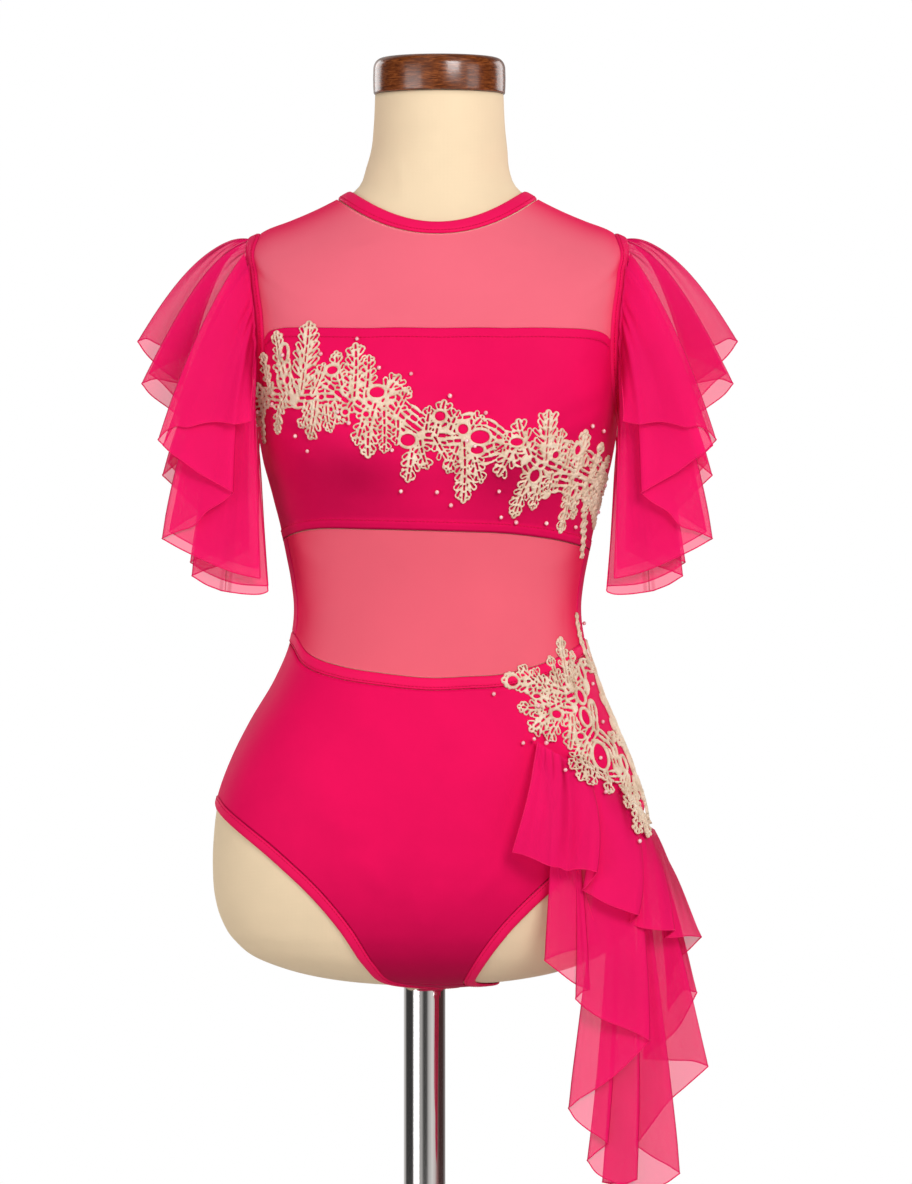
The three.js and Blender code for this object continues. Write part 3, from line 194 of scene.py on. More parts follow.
def to_form(p, off=0.0):
    p = np.asarray(p, float)
    inner = np.stack([CENTRE_X + (p[..., 0] - CENTRE_X) * 0.7, np.zeros(p.shape[:-1]), np.maximum(p[..., 2], 606)], -1)
    way = p - inner
    way /= np.linalg.norm(way, axis=-1, keepdims=True) + 1e-12
    lo = np.zeros(p.shape[:-1])
    hi = np.full(p.shape[:-1], 260.0)
    for _ in range(30):
        m = (lo + hi) / 2
        q = inner + way * m[..., None]
        bad = (q[..., 2] < 509.85) | (outside(q) > 0)
        hi = np.where(bad, m, hi)
        lo = np.where(bad, lo, m)
    q = inner + way * lo[..., None]
    off = np.asarray(off, float)
    return q + surface_normal(q) * (off[..., None] if off.ndim else off)


# ---------------------------------------------------------------- mesh helpers
def smoothstep(x, a, b):
    t = np.clip((np.asarray(x, float) - a) / (b - a), 0, 1)
    return t * t * (3 - 2 * t)


def make(name, points, faces, mat, smooth=True):
    me = bpy.data.meshes.new(name)
    me.from_pydata((np.asarray(points, float) / 1000.0).tolist(), [], [tuple(int(k) for k in f) for f in faces])
    me.materials.append(mat)
    if smooth:
        me.polygons.foreach_set("use_smooth", [True] * len(me.polygons))
    me.update()
    ob = bpy.data.objects.new(name, me)
    bpy.context.scene.collection.objects.link(ob)
    return ob


def quads(rows, cols, round_=False, start=0, flip=False):
    i = np.arange(cols if round_ else cols - 1)
    j = np.arange(rows - 1)
    I, J = np.meshgrid(i, j)
    I2 = (I + 1) % cols
    a = start + J * cols + I
    b = start + J * cols + I2
    c = start + (J + 1) * cols + I2
    d = start + (J + 1) * cols + I
    f = np.stack([a, b, c, d] if not flip else [d, c, b, a], -1).reshape(-1, 4)
    return f


def sheet_mesh(name, grid, mat, round_=False):
    rows, cols = grid.shape[:2]
    return make(name, grid.reshape(-1, 3), quads(rows, cols, round_), mat)


def wall_mesh(name, inner, outer, mat, round_=False):
    """A thin closed wall between two grids."""
    rows, cols = inner.shape[:2]
    n = rows * cols
    pts = np.concatenate([inner.reshape(-1, 3), outer.reshape(-1, 3)])
    F = [quads(rows, cols, round_, n), quads(rows, cols, round_, 0, True)]
    i = np.arange(cols if round_ else cols - 1)
    i2 = (i + 1) % cols
    F.append(np.stack([i, i2, i2 + n, i + n], -1))
    k = (rows - 1) * cols
    F.append(np.stack([k + i2, k + i, k + i + n, k + i2 + n], -1))
    if not round_:
        j = np.arange(rows - 1) * cols
        F.append(np.stack([j + cols, j, j + n, j + cols + n], -1))
        F.append(np.stack([j + cols - 1, j + 2 * cols - 1, j + 2 * cols - 1 + n, j + cols - 1 + n], -1))
    return make(name, pts, np.concatenate(F), mat)


def frames_along(path, closed=False):
    P = np.asarray(path, float)
    T = np.roll(P, -1, 0) - np.roll(P, 1, 0) if closed else np.gradient(P, axis=0)
    T /= np.linalg.norm(T, axis=1, keepdims=True) + 1e-12
    N = np.zeros_like(P)
    ref = np.array([0.0, -1.0, 0.0]) if abs(T[0][1]) < 0.9 else np.array([1.0, 0, 0])
    n = np.cross(T[0], ref)
    n /= np.linalg.norm(n)
    for i in range(len(P)):
        n = n - T[i] * (n @ T[i])
        n /= np.linalg.norm(n) + 1e-12
        N[i] = n
    return T, N, np.cross(T, N)


def tube(path, radius, sides=6, closed=False):
    """points and faces of a round cord along a path."""
    P = np.asarray(path, float)
    _, N, B = frames_along(P, closed)
    r = np.broadcast_to(np.asarray(radius, float), (len(P),))
    th = np.arange(sides) / sides * 2 * math.pi
    pts = P[:, None] + r[:, None, None] * (np.cos(th)[None, :, None] * N[:, None] + np.sin(th)[None, :, None] * B[:, None])
    m = len(P)
    F = quads(m, sides, True)
    faces = [tuple(f) for f in F]
    if closed:
        for k in range(sides):
            k2 = (k + 1) % sides
            faces.append(((m - 1) * sides + k, (m - 1) * sides + k2, k2, k))
    else:
        faces.append(tuple(range(sides))[::-1])
        faces.append(tuple((m - 1) * sides + k for k in range(sides)))
    return pts.reshape(-1, 3), faces


def many(name, parts, mat, smooth=True):
    """One object from a list of (points, faces)."""
    P, F, k = [], [], 0
    for p, f in parts:
        P.append(np.asarray(p, float))
        F.extend([tuple(int(q) + k for q in g) for g in f])
        k += len(p)
    return make(name, np.concatenate(P), F, mat, smooth)


def resample(path, step):
    P = np.asarray(path, float)
    d = np.r_[0, np.cumsum(np.linalg.norm(np.diff(P, axis=0), axis=1))]
    n = max(2, int(round(d[-1] / step)) + 1)
    s = np.linspace(0, d[-1], n)
    return np.stack([np.interp(s, d, P[:, k]) for k in range(3)], -1)


def stitches(path, normals, length=2.2, gap=1.0, radius=0.28, sink=0.0):
    """Short threads along a path that lies on cloth."""
    P = np.asarray(path, float)
    N = np.asarray(normals, float)
    d = np.r_[0, np.cumsum(np.linalg.norm(np.diff(P, axis=0), axis=1))]
    out = []
    s = 0.0
    while s + length < d[-1]:
        ends = []
        for q, lift in ((s, 0.0), (s + length * 0.3, 1.0), (s + length * 0.7, 1.0), (s + length, 0.0)):
            p = np.array([np.interp(q, d, P[:, k]) for k in range(3)])
            n = np.array([np.interp(q, d, N[:, k]) for k in range(3)])
            ends.append(p + n * (lift * radius * 1.1 - sink))
        out.append(tube(ends, radius, 4))
        s += length + gap
    return out


# ---------------------------------------------------------------- materials
def srgb(r, g, b):
    f = lambda c: (c / 255 / 12.92) if c / 255 <= 0.04045 else ((c / 255 + 0.055) / 1.055) ** 2.4
    return (f(r), f(g), f(b), 1.0)


def material(name):
    m = bpy.data.materials.new(name)
    m.use_nodes = True
    nt = m.node_tree
    b = nt.nodes["Principled BSDF"]
    return m, nt, b


def noise(nt, scale, detail=3.0, rough=0.5, coords=None, distortion=0.0):
    n = nt.nodes.new("ShaderNodeTexNoise")
    n.inputs["Scale"].default_value = scale
    n.inputs["Detail"].default_value = detail
    n.inputs["Roughness"].default_value = rough
    n.inputs["Distortion"].default_value = distortion
    if coords is not None:
        nt.links.new(coords, n.inputs["Vector"])
    return n


def ramp(nt, fac, stops):
    r = nt.nodes.new("ShaderNodeValToRGB")
    r.color_ramp.elements[0].position = stops[0][0]
    r.color_ramp.elements[0].color = stops[0][1]
    r.color_ramp.elements[1].position = stops[-1][0]
    r.color_ramp.elements[1].color = stops[-1][1]
    for p, c in stops[1:-1]:
        e = r.color_ramp.elements.new(p)
        e.color = c
    nt.links.new(fac, r.inputs["Fac"])
    return r


def coords(nt, scale=(1, 1, 1), rotate=(0, 0, 0)):
    tc = nt.nodes.new("ShaderNodeTexCoord")
    mp = nt.nodes.new("ShaderNodeMapping")
    mp.inputs["Scale"].default_value = scale
    mp.inputs["Rotation"].default_value = rotate
    nt.links.new(tc.outputs["Object"], mp.inputs["Vector"])
    return mp.outputs["Vector"]


def bump(nt, height, strength, distance, normal=None):
    b = nt.nodes.new("ShaderNodeBump")
    b.inputs["Strength"].default_value = strength
    b.inputs["Distance"].default_value = distance
    nt.links.new(height, b.inputs["Height"])
    if normal is not None:
        nt.links.new(normal, b.inputs["Normal"])
    return b.outputs["Normal"]


def wave(nt, scale, vector, direction="X"):
    w = nt.nodes.new("ShaderNodeTexWave")
    w.wave_type = "BANDS"
    w.bands_direction = direction
    w.inputs["Scale"].default_value = scale
    w.inputs["Distortion"].default_value = 0.4
    w.inputs["Detail"].default_value = 1.0
    nt.links.new(vector, w.inputs["Vector"])
    return w.outputs["Fac"]


def mixed(nt, a, b, op="MULTIPLY"):
    m = nt.nodes.new("ShaderNodeMath")
    m.operation = op
    nt.links.new(a, m.inputs[0])
    nt.links.new(b, m.inputs[1])
    return m.outputs[0]


def spread(c, k):
    return tuple(min(1.0, q * k) for q in c[:3]) + (1.0,)


def cloth_material(name, color, roughness=0.6, specular=0.06, sheen=0.03, tint=None, weave=1500.0, alpha=1.0, vary=0.06, weave_bump=0.12, under=None, painted_glow=0.0, edge=None, dense=None, at=None):
    m, nt, b = material(name)
    v = coords(nt)
    big = noise(nt, 14.0, 3.0, 0.55, v)
    col = ramp(nt, big.outputs["Fac"], [(0.25, spread(color, 1 - vary)), (0.75, spread(color, 1 + vary))])
    if painted_glow:
        # painted glow: the cloth emits a little light in its own colour, standing in for light that thin cloth passes
        # on from behind
        b.inputs["Emission Color"].default_value = spread(color, 1.0)
        b.inputs["Emission Strength"].default_value = painted_glow
    if edge is not None:
        # seen aslant, the colour moves towards a darker edge colour: partly the net closing up, partly painted shade on
        # sides and folds that turn away
        lw = nt.nodes.new("ShaderNodeLayerWeight")
        lw.inputs["Blend"].default_value = 0.5
        mr = nt.nodes.new("ShaderNodeMapRange")
        mr.interpolation_type = "SMOOTHSTEP"
        mr.inputs["From Min"].default_value = (at or (0.16, 0.66))[0]
        mr.inputs["From Max"].default_value = (at or (0.16, 0.66))[1]
        nt.links.new(lw.outputs["Facing"], mr.inputs["Value"])
        mx = nt.nodes.new("ShaderNodeMix")
        mx.data_type = "RGBA"
        nt.links.new(mr.outputs["Result"], mx.inputs["Factor"])
        nt.links.new(col.outputs["Color"], mx.inputs[6])
        mx.inputs[7].default_value = edge
        nt.links.new(mx.outputs[2], b.inputs["Base Color"])
    elif under is None:
        nt.links.new(col.outputs["Color"], b.inputs["Base Color"])
    else:
        # painted shade: the colour darkens where the cloth's normal turns down, standing in for shade under the bust
        # and at the crotch
        ge = nt.nodes.new("ShaderNodeNewGeometry")
        se = nt.nodes.new("ShaderNodeSeparateXYZ")
        nt.links.new(ge.outputs["Normal"], se.inputs[0])
        mr = nt.nodes.new("ShaderNodeMapRange")
        mr.interpolation_type = "SMOOTHSTEP"
        mr.inputs["From Min"].default_value = -0.75
        mr.inputs["From Max"].default_value = 0.08
        mr.inputs["To Min"].default_value = under
        mr.inputs["To Max"].default_value = 1.0
        nt.links.new(se.outputs["Z"], mr.inputs["Value"])
        mx = nt.nodes.new("ShaderNodeMix")
        mx.data_type = "RGBA"
        mx.blend_type = "MIX"
        nt.links.new(mr.outputs["Result"], mx.inputs["Factor"])
        mx.inputs[6].default_value = (0.0, 0.0, 0.0, 1)
        nt.links.new(col.outputs["Color"], mx.inputs[7])
        nt.links.new(mx.outputs[2], b.inputs["Base Color"])
    fine = mixed(nt, wave(nt, weave / 6.28, v, "X"), wave(nt, weave / 6.28, v, "Z"))
    soft = noise(nt, 60.0, 3.0, 0.6, v)
    n1 = bump(nt, fine, weave_bump, 0.0002)
    n2 = bump(nt, soft.outputs["Fac"], 0.06, 0.0015, n1)
    nt.links.new(n2, b.inputs["Normal"])
    b.inputs["Roughness"].default_value = roughness
    b.inputs["Specular IOR Level"].default_value = specular
    b.inputs["Sheen Weight"].default_value = sheen
    b.inputs["Sheen Roughness"].default_value = 0.4
    if tint:
        b.inputs["Sheen Tint"].default_value = tint
    b.inputs["Alpha"].default_value = alpha
    if dense is not None:
        # seen aslant, more threads lie in the line of sight
        lw2 = nt.nodes.new("ShaderNodeLayerWeight")
        lw2.inputs["Blend"].default_value = 0.5
        mr2 = nt.nodes.new("ShaderNodeMapRange")
        mr2.inputs["From Min"].default_value = (at or (0.08, 0.72))[0]
        mr2.inputs["From Max"].default_value = (at or (0.08, 0.72))[1]
        mr2.inputs["To Min"].default_value = alpha
        mr2.inputs["To Max"].default_value = dense
        nt.links.new(lw2.outputs["Facing"], mr2.inputs["Value"])
        nt.links.new(mr2.outputs["Result"], b.inputs["Alpha"])
    return m


PINK = srgb(233, 12, 88)
# painted shade: under=0.58 darkens the jersey's colour where the cloth faces down
JERSEY = cloth_material("jersey", PINK, specular=0.04, sheen=0.02, tint=(1.0, 0.25, 0.45, 1), under=0.58)
BINDING = cloth_material("binding", srgb(240, 20, 92), roughness=0.55, tint=(1.0, 0.25, 0.45, 1), weave=2400.0)
STITCH = cloth_material("stitch", srgb(214, 12, 74), roughness=0.6, weave=3000.0)
# painted shade: the edge colour darkens the yoke net where it turns away at the sides, beside its denser look there
MESH = cloth_material("power_mesh", (1.0, 0.152, 0.24, 1.0), roughness=0.7, specular=0.03, alpha=0.80, vary=0.03, dense=0.98, edge=(0.96, 0.025, 0.12, 1), at=(0.3, 0.78), weave=3200.0, tint=(1.0, 0.4, 0.5, 1))
# painted shade: the edge colour darkens the waist net at its turning sides, beside its denser look there
MIDRIFF = cloth_material("power_mesh_waist", (0.96, 0.125, 0.20, 1.0), roughness=0.7, specular=0.03, alpha=0.80, dense=0.98, vary=0.03, edge=(0.86, 0.012, 0.085, 1), weave=3200.0, tint=(1.0, 0.4, 0.5, 1))
# painted glow and painted shade: the chiffon emits a little pink light of its own, and its edge colour darkens it on
# sides and folds seen aslant
CHIFFON = cloth_material("chiffon", srgb(243, 22, 104), roughness=0.6, alpha=0.69, dense=0.97, edge=(0.50, 0.002, 0.055, 1), painted_glow=0.06, weave=3600.0, specular=0.04, sheen=0.02, tint=(1.0, 0.3, 0.5, 1), vary=0.05)
HEM = cloth_material("rolled_hem", srgb(238, 26, 100), roughness=0.5, weave=3600.0)
COVER = cloth_material("form_cover", srgb(241, 217, 182), roughness=0.85, specular=0.1, sheen=0.08, weave=1800.0, vary=0.045, weave_bump=0.25)


def guipure_material():
    m, nt, b = material("guipure")
    v = coords(nt)
    big = noise(nt, 90.0, 4.0, 0.6, v)
    col = ramp(nt, big.outputs["Fac"], [(0.28, srgb(208, 176, 146)), (0.5, srgb(234, 209, 183)), (0.75, srgb(248, 230, 207))])
    nt.links.new(col.outputs["Color"], b.inputs["Base Color"])
    thread = noise(nt, 1100.0, 2.0, 0.6, v, 0.6)
    n1 = bump(nt, thread.outputs["Fac"], 0.45, 0.0004)
    nt.links.new(n1, b.inputs["Normal"])
    b.inputs["Roughness"].default_value = 0.55
    b.inputs["Specular IOR Level"].default_value = 0.35
    b.inputs["Sheen Weight"].default_value = 0.1
    return m


def bead_material():
    m, nt, b = material("bead")
    v = coords(nt)
    n = noise(nt, 300.0, 1.0, 0.5, v)
    col = ramp(nt, n.outputs["Fac"], [(0.3, srgb(240, 150, 165)), (0.7, srgb(255, 214, 214))])
    nt.links.new(col.outputs["Color"], b.inputs["Base Color"])
    b.inputs["Roughness"].default_value = 0.12
    b.inputs["Specular IOR Level"].default_value = 0.8
    b.inputs["Coat Weight"].default_value = 0.6
    return m


def wood_material():
    m, nt, b = material("walnut")
    v = coords(nt, (9, 9, 60))
    n = noise(nt, 6.0, 6.0, 0.65, v, 1.4)
    fine = noise(nt, 40.0, 4.0, 0.7, coords(nt, (3, 3, 30)), 0.6)
    both = mixed(nt, n.outputs["Fac"], fine.outputs["Fac"])
    col = ramp(nt, both, [(0.12, srgb(56, 22, 4)), (0.24, srgb(104, 48, 14)), (0.36, srgb(150, 80, 34))])
    nt.links.new(col.outputs["Color"], b.inputs["Base Color"])
    nt.links.new(bump(nt, fine.outputs["Fac"], 0.08, 0.0006), b.inputs["Normal"])
    b.inputs["Roughness"].default_value = 0.22
    b.inputs["Coat Weight"].default_value = 0.28
    b.inputs["Coat Roughness"].default_value = 0.12
    return m


def chrome_material():
    m, nt, b = material("chrome")
    v = coords(nt, (400, 400, 3))
    n = noise(nt, 4.0, 3.0, 0.6, v)
    r = nt.nodes.new("ShaderNodeMapRange")
    r.inputs["To Min"].default_value = 0.05
    r.inputs["To Max"].default_value = 0.12
    nt.links.new(n.outputs["Fac"], r.inputs["Value"])
    nt.links.new(r.outputs["Result"], b.inputs["Roughness"])
    col = ramp(nt, n.outputs["Fac"], [(0.2, (0.78, 0.77, 0.77, 1)), (0.8, (0.86, 0.85, 0.85, 1))])
    nt.links.new(col.outputs["Color"], b.inputs["Base Color"])
    b.inputs["Metallic"].default_value = 1.0
    return m


GUIPURE, BEAD, WOOD, CHROME = guipure_material(), bead_material(), wood_material(), chrome_material()

PIECES = []


def done(ob, slot, *nodes):
    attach(ob, "root")
    if nodes:
        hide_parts(*nodes)
    PIECES.append(ob)
    return ob


# ---------------------------------------------------------------- the form, the cap and the stand
def creases(P, rows):
    """Height of listed creases at points P. Rows: angle, level, angle, level, half width, height."""
    h = np.zeros(P.shape[:-1])
    for a0, t0, a1, t1, w, k in rows:
        m = 9
        u = np.linspace(0, 1, m)
        line = on(a0 + (a1 - a0) * u, t0 + (t1 - t0) * u, 0)
        best = np.full(P.shape[:-1], 1e9)
        along = np.zeros(P.shape[:-1])
        for i in range(m - 1):
            A, B = line[i], line[i + 1]
            d = B - A
            s = np.clip(((P - A) @ d) / (d @ d), 0, 1)
            q = np.linalg.norm(P - (A + s[..., None] * d), axis=-1)
            near = q < best
            best = np.where(near, q, best)
            along = np.where(near, (i + s) / (m - 1), along)
        h += k * np.exp(-((best / w) ** 2)) * np.sin(np.pi * np.clip(along, 0.04, 0.96)) ** 0.7
    return h


def build_form():
    n = 160
    lv = np.r_[np.linspace(485.5, 560, 45), np.linspace(562, 1240, 150)]
    A = np.arange(n) * 360.0 / n
    AA, TT = np.meshgrid(A, lv)
    P = on(AA, TT, -0.7)
    # the cover is drawn tight over the padding, with a few soft creases at the neck's foot
    h = creases(P, [(232, 1187, 246, 1172, 5, 0.8), (300, 1184, 288, 1168, 6, 0.7), (262, 1228, 285, 1232, 7, -0.5), (60, 1190, 80, 1176, 6, 0.7), (120, 1215, 100, 1205, 5, -0.5)])
    P = P + body_normal(AA, TT) * h[..., None]
    m = len(lv)
    pts = np.concatenate([P.reshape(-1, 3), [[0.6, 0, 510.3]], [[NECK_X, -1, 1239.9]]])
    F = [tuple(f) for f in quads(m, n, True)]
    for i in range(n):
        F.append((m * n, (i + 1) % n, i))
        F.append((m * n + 1, (m - 1) * n + i, (m - 1) * n + (i + 1) % n))
    ob = make("form_body", pts, F, COVER)
    done(ob, "cover", "form_torso")


def lathe(name, rows, mat, segments=128, centre=(0, 0)):
    """rows: (radius, height) closed on the axis at both ends; doubled rows keep an edge crisp."""
    R = np.array(rows, float)
    th = np.arange(segments) / segments * 2 * math.pi
    pts, F = [], []
    body_rows = [r for r in R if r[0] > 1e-6]
    for r, z in body_rows:
        pts.append(np.stack([centre[0] + r * np.cos(th), centre[1] + r * np.sin(th), np.full(segments, z)], -1))
    m = len(body_rows)
    pts = np.concatenate(pts + [[[centre[0], centre[1], R[0][1]]], [[centre[0], centre[1], R[-1][1]]]])
    F = [tuple(f) for f in quads(m, segments, True)]
    for i in range(segments):
        j = (i + 1) % segments
        F.append((m * segments, j, i))
        F.append((m * segments + 1, (m - 1) * segments + i, (m - 1) * segments + j))
    return make(name, pts, F, mat)


def arc(r, z, dr, dz, n=6, start=0.0, end=90.0):
    """points on a quarter round from (r+dr*cos) ..."""
    out = []
    for k in range(n + 1):
        th = math.radians(start + (end - start) * k / n)
        out.append((r + dr * math.cos(th), z + dz * math.sin(th)))
    return out


def build_stand():
    z0 = 1240.3
    R = 53.9
    prof = [(0, z0), (R - 2, z0), (R - 1.2, z0)] + [(R - 1.2 + 1.2 * math.sin(math.radians(q)), z0 + 1.2 - 1.2 * math.cos(math.radians(q))) for q in (30, 60, 90)]
    prof += [(R + 0.3, z0 + 6), (R + 0.4, z0 + 13)] + arc(R - 7, z0 + 20.5, 7.2, 9, 9, 0, 82) + [(R - 12, z0 + 29.4), (R - 24, z0 + 29.5), (0, z0 + 29.5)]
    done(lathe("cap", prof, WOOD, 144, (NECK_X, -1)), "walnut", "neck_cap")
    pole = [(0, 14.3), (16.6, 14.3), (17, 14.8), (17, 15.2)] + [(17, z) for z in np.linspace(20, 500, 25)] + [(17, 510.6), (16.8, 511.0), (0, 511.0)]
    done(lathe("stand_pole", pole, CHROME, 96), "chrome", "pole")
    col = [(17.4, 14.4), (29.4, 14.4), (29.9, 14.8), (30, 15.4), (30, 27), (29.8, 28.4), (29.2, 29.4), (26.6, 35.2), (25.6, 36.6), (21.4, 39.4), (20.2, 39.9), (17.4, 40), (17.3, 39.6), (17.3, 14.8)]
    segs = 96
    th = np.arange(segs) / segs * 2 * math.pi
    C = np.array(col)
    pts = np.stack([C[:, 0:1] * np.cos(th), C[:, 0:1] * np.sin(th), np.repeat(C[:, 1:2], segs, 1)], -1)
    F = [tuple(f) for f in quads(len(C), segs, True)]
    last = (len(C) - 1) * segs
    for i in range(segs):
        j = (i + 1) % segs
        F.append((last + i, last + j, j, i))
    done(make("stand_collar", pts.reshape(-1, 3), F, CHROME), "chrome", "pole_collar")
    base = [(0, 0), (166.5, 0), (168, 0.2), (169.4, 1.0), (170, 2.2), (170, 5.6), (169.5, 7.2), (168, 8.6), (166, 9.4), (150, 11.9), (140, 13.4), (132, 13.95), (120, 14), (40, 14), (0, 14)]
    done(lathe("stand_base", base, CHROME, 160), "chrome", "base")


# ---------------------------------------------------------------- seams of the costume
NECK_EDGE, NECK_SEAM = 1161.4, 1156.0
SIDE_GAP = 0.12
SEAM = 0.3
ARM_SEAM = dict(front=23.0, back=22.0, high=1126.5, low=968.0, off=0.4)
ARM_FREE = dict(front=17.0, back=16.5, high=1120.0, low=976.0, off=4.2)
MID_BAND = dict(front=17 + 6 * 0.6, back=16.5 + 5.5 * 0.66, high=1123.25, low=972.0, off=2.3)
BUST_TOP = [(203, 1046), (206, 1057), (212, 1070.5), (224, 1088), (244, 1098.7), (271, 1100), (297, 1098.5), (314, 1090), (326, 1072), (333, 1057), (337, 1046)]
BUST_BOTTOM = [(180, 874), (196, 878.5), (212, 883), (240, 883), (260, 882), (281, 881), (301, 879.7), (321, 875.7), (341, 870), (360, 866)]
BACK_YOKE = [(20, 1046), (40, 1062), (65, 1069), (90, 1071), (115, 1069), (140, 1062), (160, 1046)]
WAIST = [(180, 801), (195, 795.5), (206, 783.5), (226, 772), (244, 767), (269, 763.2), (285, 764.3), (300, 765.8), (320, 774.6), (339, 786.5), (360, 796)]
WAIST_WIDE = 9.8
BACK_WAIST = 800.0


def table(rows):
    R = np.array(rows, float)
    return lambda x: hermite(R[:, 0], R[:, 1], x)


bust_top, bust_bottom, back_yoke_edge, waist = table(BUST_TOP), table(BUST_BOTTOM), table(BACK_YOKE), table(WAIST)


def arm_loop(loop, turn, side):
    s, c = np.sin(np.radians(turn)), np.cos(np.radians(turn))
    reach = np.where(s > 0, loop["front"], loop["back"]) * np.sign(s) * np.abs(s) ** 0.62
    level = (loop["high"] + loop["low"]) / 2 + (loop["high"] - loop["low"]) / 2 * c
    return (180 + reach if side < 0 else 360 - reach), level


def arm_level(reach, span, upper, grow=0.5):
    s = np.clip(reach / span, 0, 1) ** (1 / 0.62)
    c = np.sqrt(np.maximum(0, 1 - s * s)) * (1 if upper else -1)
    return (ARM_SEAM["high"] + ARM_SEAM["low"]) / 2 + ((ARM_SEAM["high"] - ARM_SEAM["low"]) / 2 + grow) * c


_RA = np.arange(361)
_RP = body(_RA, 1046.0)
_RL = np.r_[0, np.cumsum(np.linalg.norm(np.diff(_RP, axis=0), axis=1))]


def even_angle(start, end, u):
    want = np.interp(start, _RA, _RL) * (1 - u) + np.interp(end, _RA, _RL) * u
    return np.interp(want, _RL, _RA)


def columns(n, start, end, span, part):
    u = np.linspace(0, 1, n)
    turn = lambda k: span * np.sin(np.clip(k, 0, 1) * math.pi / 2) ** 0.62
    mid = even_angle(start + span, end - span, np.clip((u - part) / (1 - 2 * part), 0, 1))
    return np.where(u < part, start + turn(u / part), np.where(u > 1 - part, end - turn((1 - u) / part), mid))


def upper_grid(start, end, span, top, bottom, cols, rows):
    a = columns(cols, start + SIDE_GAP, end - SIDE_GAP, span + 0.35, 4 / 18)
    v = np.linspace(0, 1, rows)[:, None]
    lo, hi = bottom(a), top(a)
    return np.broadcast_to(a, (rows, cols)), lo + (hi - lo) * v


def reach_of(a, start, end):
    return np.minimum(a - start, end - a)


def panel(name, A, T, mat, slot, nodes, off=0.35, thick=0.9, height=None, solid=True):
    h = 0.0 if height is None else height
    outer = on(A, T, off + thick + h)
    if solid:
        ob = wall_mesh(name, on(A, T, off + np.zeros_like(T)), outer, mat)
    else:
        ob = sheet_mesh(name, outer, mat)
    return done(ob, slot, *nodes)


def binding_mesh(name, rows_pts, rows_nrm, wide, high=1.9, base=0.3, round_=True, mat=None):
    """A folded binding. rows_pts: [m, n, 3] points across the width on the form; rows_nrm: normals; rounded, with a sewn line."""
    m = rows_pts.shape[0]
    w = np.linspace(0, 1, m)
    lift = high * (1 - np.abs(2 * w - 1) ** 3.2) ** 0.5
    groove = 0.45 * np.exp(-(((w - 0.80) / 0.045) ** 2)) + 0.2 * np.exp(-(((w - 0.12) / 0.05) ** 2))
    h = base + lift - groove
    outer = rows_pts + rows_nrm * h[:, None, None]
    inner = rows_pts + rows_nrm * (base * 0.5)
    return wall_mesh(name, inner, outer, mat or BINDING, round_)


def edge_band(T, lo, hi, inner=8.0, groove=8.0, raise_=0.5):
    """Height of a folded hem that lies under the top and bottom edges of a panel."""
    up = hi - T
    dn = T - lo
    h = raise_ * (1 - smoothstep(up, inner - 0.8, inner + 0.8)) + raise_ * (1 - smoothstep(dn, inner - 0.8, inner + 0.8))
    return h


